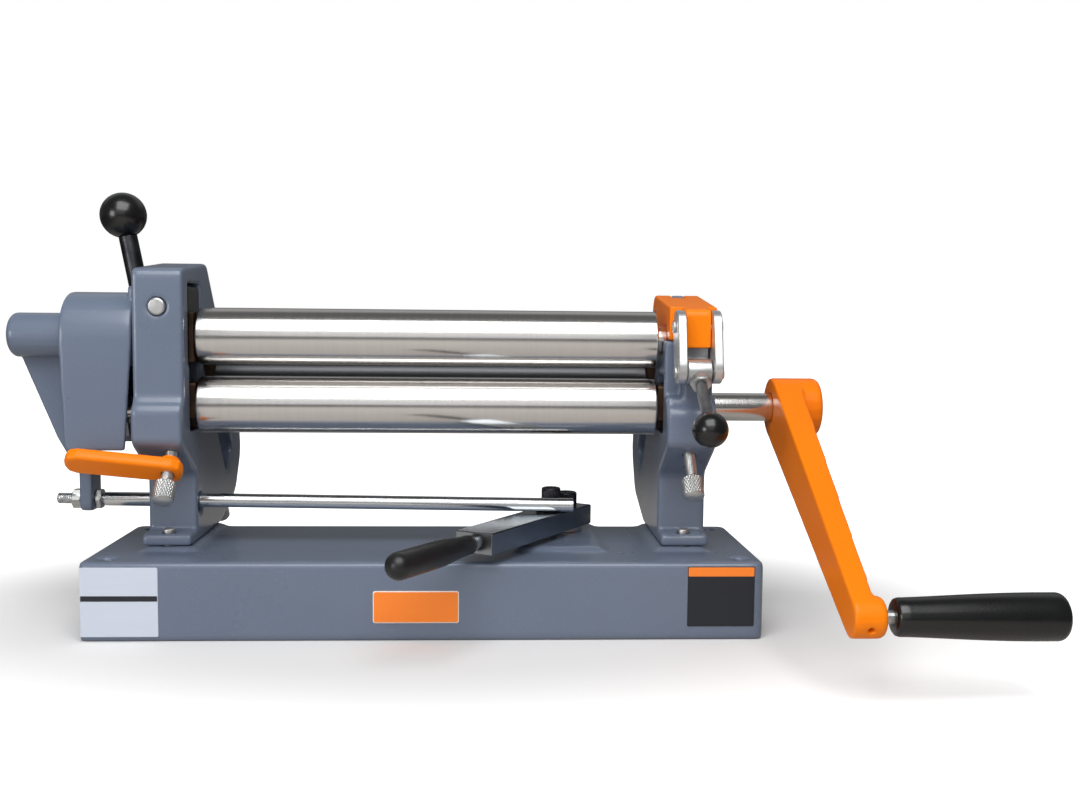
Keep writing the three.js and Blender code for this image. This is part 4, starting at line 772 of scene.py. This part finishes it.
def makeLatch():
    p = latchParts
    r, c, wide, gap = p["barrel"], p["edge"], p["wide"], p["gap"]
    rows = [(0, 0), (0, r - c), (c, r), (wide - c, r), (wide, r - c), (wide, 0)]
    place = (p["start"], balls["camY"], balls["camZ"])
    turnedNode("cam_barrel", rows, place, (1, 0, 0), p["count"], p["soft"])
    along = unit(leverWay)
    first = r - p["nutHigh"] / 3 + gap
    nutEnd = r + 2 * gap + p["nutHigh"]
    full = balls["reach"] - math.sqrt(balls["latch"] ** 2 - balls["latchRod"] ** 2) - gap
    rows = [(first, 0), (first, p["neck"]), (nutEnd, p["neck"]), (nutEnd, p["rod"] - p["rodEdge"]),
            (nutEnd + p["rodEdge"], p["rod"]), (full, p["rod"]), (full, 0)]
    turnedNode("latch_rod", rows, camSpot, along, p["rodCount"], 0)
    nutAt = camSpot + along * (r + gap)
    hexNut("latch_nut", nutAt, along, p["nut"], p["nutHigh"], p["neck"] + p["slack"])


makeLatch()


# A flat plate with chamfered edges: each end ring is the outline drawn in along its normals. The
# plate's thickness runs from low to high along X or Y.
def platePiece(name, node, outline, axis, low, high, chamfer, finish, body=None):
    outline = np.asarray(outline, float)
    ahead = np.roll(outline, -1, 0) - outline
    behind = outline - np.roll(outline, 1, 0)
    a, b = (v / np.linalg.norm(v, axis=1, keepdims=True) for v in (ahead, behind))
    normal = np.stack([(a + b)[:, 1], -(a + b)[:, 0]], 1)
    normal /= np.sum(normal * np.stack([a[:, 1], -a[:, 0]], 1), axis=1, keepdims=True)
    count = len(outline)
    layers = []
    for height, grow in ((low, -chamfer), (low + chamfer, 0), (high - chamfer, 0), (high, -chamfer)):
        flat = outline + normal * grow
        layers.append(np.insert(flat, "XY".index(axis), height, axis=1))
    faces = ringQuads(len(layers), count, False)
    faces += [np.arange(count)[::-1].tolist(), (np.arange(count) + (len(layers) - 1) * count).tolist()]
    if axis == "Y":
        faces = [face[::-1] for face in faces]
    return meshPiece(name, np.vstack(layers), faces, node, finish, 20, body)


# A stadium outline round two middles: two half turns of one radius, joined by straight sides.
def stadium(first, second, radius, count=24):
    first, second = np.array(first), np.array(second)
    turn = math.atan2(*(second - first)[::-1])
    t = np.linspace(-np.pi / 2, np.pi / 2, count)
    far = second + radius * np.stack([np.cos(turn + t), np.sin(turn + t)], 1)
    near = first + radius * np.stack([np.cos(turn + np.pi + t), np.sin(turn + np.pi + t)], 1)
    return np.vstack([far, near])


# A rectangle's outline with a quarter turn at each corner.
def rectangle(u0, v0, u1, v1, radius, count=6):
    spots = []
    for (u, v), start in (((u1 - radius, v1 - radius), 0), ((u0 + radius, v1 - radius), 90),
                          ((u0 + radius, v0 + radius), 180), ((u1 - radius, v0 + radius), 270)):
        t = np.radians(start + np.linspace(0, 90, count))
        spots.append(np.stack([u + radius * np.cos(t), v + radius * np.sin(t)], 1))
    return np.vstack(spots)


for node, low in latchParts["links"]:
    outline = stadium(latchParts["upper"], latchParts["lower"], latchParts["link"])
    piece = platePiece(node + "_ground", node, outline, "X", low, low + latchParts["thick"],
                       latchParts["linkEdge"], finishes["link_ground"])
    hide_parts(node)
seat = latchParts["seat"]
platePiece("seat_face", "cam_barrel", rectangle(*seat["box"], seat["round"]), "Y",
           seat["y"] - seat["thick"], seat["y"], seat["edge"], finishes["steel"], bodyOf["right_frame"])
print("latch made")

# Satin sheet: fine brushing that runs along the plate.
sheet = {"brush": 600.0, "along": (0.03, 1.0, 1.0), "clouds": 22.0, "pale": 1.12, "dullShare": 0.12,
         "depth": 0.000008}


def satin(name, colour, roughness):
    look = Look(name, Metallic=0.0)
    brushed = look.noise(sheet["brush"], 2.0, 0.5, stretch=sheet["along"])
    cloud = look.noise(sheet["clouds"])
    return look.feed(
        Base_Color=look.mix(brushed * 0.5 + cloud * 0.5, shade(colour), paler(colour, sheet["pale"])),
        Roughness=brushed * sheet["dullShare"] + roughness,
        Normal=look.bump(brushed, sheet["depth"]))


# Bare plates on the base's front: a data plate, a badge and a notice plate. Each row is a rectangle
# with its corners' radius, how many sheets it stands out, its finish, and a node of its slot.
labels = {
    "face": -65.0, "thick": 0.5, "sunk": 0.2, "under": 0.1, "edge": 0.15,
    "finishes": {
        "data": satin("satinSilver", "c4ccda", 0.34), "dark": satin("satinBlack", "1c2028", 0.36),
        "white": satin("satinWhite", "e9dcd6", 0.4), "orange": satin("satinOrange", "f8832a", 0.32),
    },
    "rows": {
        "data_plate": ((-227.0, 3.5, -176.2, 50.0, 1.0), 1, "data", "tilt_pin"),
        "data_strip": ((-226.6, 27.4, -176.6, 31.0, 0.4), 1.5, "dark", "lever_grip"),
        "badge_rim": ((-34.9, 12.3, 22.5, 34.1, 1.6), 1, "white", "tilt_pin"),
        "badge_field": ((-34.2, 13.0, 21.8, 33.4, 1.2), 1.6, "orange", "lock_lever"),
        "notice_plate": ((176.5, 9.6, 222.0, 50.4, 0.8), 1, "dark", "lever_grip"),
        "notice_header": ((176.9, 43.8, 221.6, 50.0, 0.6), 1.5, "orange", "lock_lever"),
    },
}


def makeLabel(name, outline, sheets, finish, node):
    face, thick = labels["face"], labels["thick"]
    back = face + labels["sunk"] if sheets == 1 else face - thick * (sheets - 1) + labels["under"]
    platePiece(name, node, rectangle(*outline), "Y", face - thick * sheets, back, labels["edge"],
               labels["finishes"][finish], "machine_base")


for name, how in labels["rows"].items():
    makeLabel(name, *how)
print("plates made")


# The camera stands where the photograph was taken from: its place in metres, its turns in degrees,
# its focal length and the photograph's width in pixels.
view = {
    "place": (0.03835, -0.84376, 0.22046), "yaw": 2.754, "pitch": 4.519, "roll": 0.555,
    "focal": 1180.0, "wide": 1081, "sensor": 36.0,
}


def makeCamera():
    data = bpy.data.cameras.new("camera")
    data.sensor_width = view["sensor"]
    data.lens = view["focal"] / view["wide"] * view["sensor"]
    camera = bpy.data.objects.new("camera", data)
    bpy.context.scene.collection.objects.link(camera)
    yaw, pitch, roll = (math.radians(view[k]) for k in ("yaw", "pitch", "roll"))
    level = math.cos(pitch)
    forward = Vector((math.sin(yaw) * level, math.cos(yaw) * level, -math.sin(pitch)))
    right = Vector((math.cos(yaw), -math.sin(yaw), 0))
    up = right.cross(forward)
    side = right * math.cos(roll) + up * math.sin(roll)
    top = up * math.cos(roll) - right * math.sin(roll)
    turn = Matrix((side, top, -forward)).transposed()
    camera.matrix_world = Matrix.Translation(view["place"]) @ turn.to_4x4()
    bpy.context.scene.camera = camera


# The floor, the world and the lamps, in metres and watts. The floor is pale to the camera and fades
# to white between two distances from the object's middle; to other rays it has its own grey, which
# is darker far out to the sides and behind.
stage = {
    "reach": 6.0, "colour": (0.84, 0.84, 0.84), "bounce": (0.56, 0.53, 0.5), "white": (0.12, 0.42),
    "flat": 0.35, "darker": 0.25, "sides": (0.3, 0.8), "behind": (0.4, 0.9), "rough": 0.8,
    "specular": 0.1,
    "plain": 0.3, "dark": 0.12, "pale": 0.4, "bandLow": (0.35, 0.5), "bandHigh": (0.75, 0.9),
    "bandBehind": (0.2, 0.5),
    "lamps": (
        ("keyLamp", (0.0, -0.82, 1.16), (0.0, 0, 0.18), (1.15, 1.0), 16.0),
        ("frontLamp", (-0.1, -2.4, 0.85), (-0.05, 0, 0.15), (1.8, 1.0), 4.0),
        ("leftLamp", (-1.4, -1.5, 0.45), (0.15, 0, 0.12), (0.7, 0.7), 9.0),
    ),
}


# distance = root(flat*x^2 + y^2 + z^2); white = is camera ray * smooth step of the distance;
# darker where the smooth step of |x| or of y is high.
def floorLook():
    look = Look("pale_floor", **{
        "Roughness": stage["rough"], "Specular IOR Level": stage["specular"], "Emission Strength": 1.0})
    camera = look.node("ShaderNodeLightPath", {}, {}).out("Is Camera Ray")
    x, y, z = look.axes()
    away = (x * x * stage["flat"] + y * y + z * z).power(0.5)
    outer = (x * x).power(0.5).between(*stage["sides"]).most(y.between(*stage["behind"]))
    far = tuple(v * stage["darker"] for v in stage["bounce"])
    tint = look.mix(camera, look.mix(outer, stage["bounce"], far), stage["colour"])
    glow = away.between(*stage["white"]) * camera
    return look.feed(Base_Color=tint, Emission_Color=look.mix(glow, (0.0, 0.0, 0.0), (1.0, 1.0, 1.0)))


def makeFloor():
    reach = stage["reach"]
    corners = [(-reach, -reach, 0), (reach, -reach, 0), (reach, reach, 0), (-reach, reach, 0)]
    data = bpy.data.meshes.new("floor")
    data.from_pydata(corners, [], [(0, 1, 2, 3)])
    data.materials.append(floorLook())
    floor = bpy.data.objects.new("floor", data)
    bpy.context.scene.collection.objects.link(floor)


# The world's strength is 1 to the camera and plain to soft light; polished metal meets a dark one
# with a pale band, which lies behind the object and a little above the level.
def makeWorld():
    world = bpy.data.worlds.new("studio")
    bpy.context.scene.world = world
    world.use_nodes = True
    board = Board(world.node_tree)

    def span(value, low, high, first, last):
        return board.node("ShaderNodeMapRange", {}, {
            "Value": value, "From Min": low, "From Max": high, "To Min": first, "To Max": last}).out()
    path = board.node("ShaderNodeLightPath", {}, {})
    way = board.node("ShaderNodeSeparateXYZ", {}, {
        "Vector": board.node("ShaderNodeTexCoord", {}, {}).out("Generated")})
    dark, up = stage["dark"], way.out("Z")
    band = span(up, *stage["bandHigh"], span(up, *stage["bandLow"], dark, stage["pale"]), dark)
    gloss = span(way.out("Y"), *stage["bandBehind"], dark, band)
    other = span(path.out("Is Glossy Ray"), 0.0, 1.0, stage["plain"], gloss)
    level = span(path.out("Is Camera Ray"), 0.0, 1.0, other, 1.0)
    background = world.node_tree.nodes["Background"]
    world.node_tree.links.new(level.socket, background.inputs["Strength"])
    background.inputs["Color"].default_value = (1.0, 1.0, 1.0, 1.0)


def makeLamps():
    for name, place, aim, size, power in stage["lamps"]:
        lamp = bpy.data.lights.new(name, "AREA")
        lamp.shape, lamp.size, lamp.size_y, lamp.energy = "RECTANGLE", size[0], size[1], power
        item = bpy.data.objects.new(name, lamp)
        item.location = place
        item.rotation_euler = (Vector(aim) - Vector(place)).to_track_quat("-Z", "Y").to_euler()
        bpy.context.scene.collection.objects.link(item)


makeCamera()
makeFloor()
makeWorld()
makeLamps()
bpy.context.scene.view_settings.view_transform = "Standard"
print("camera and stage made")
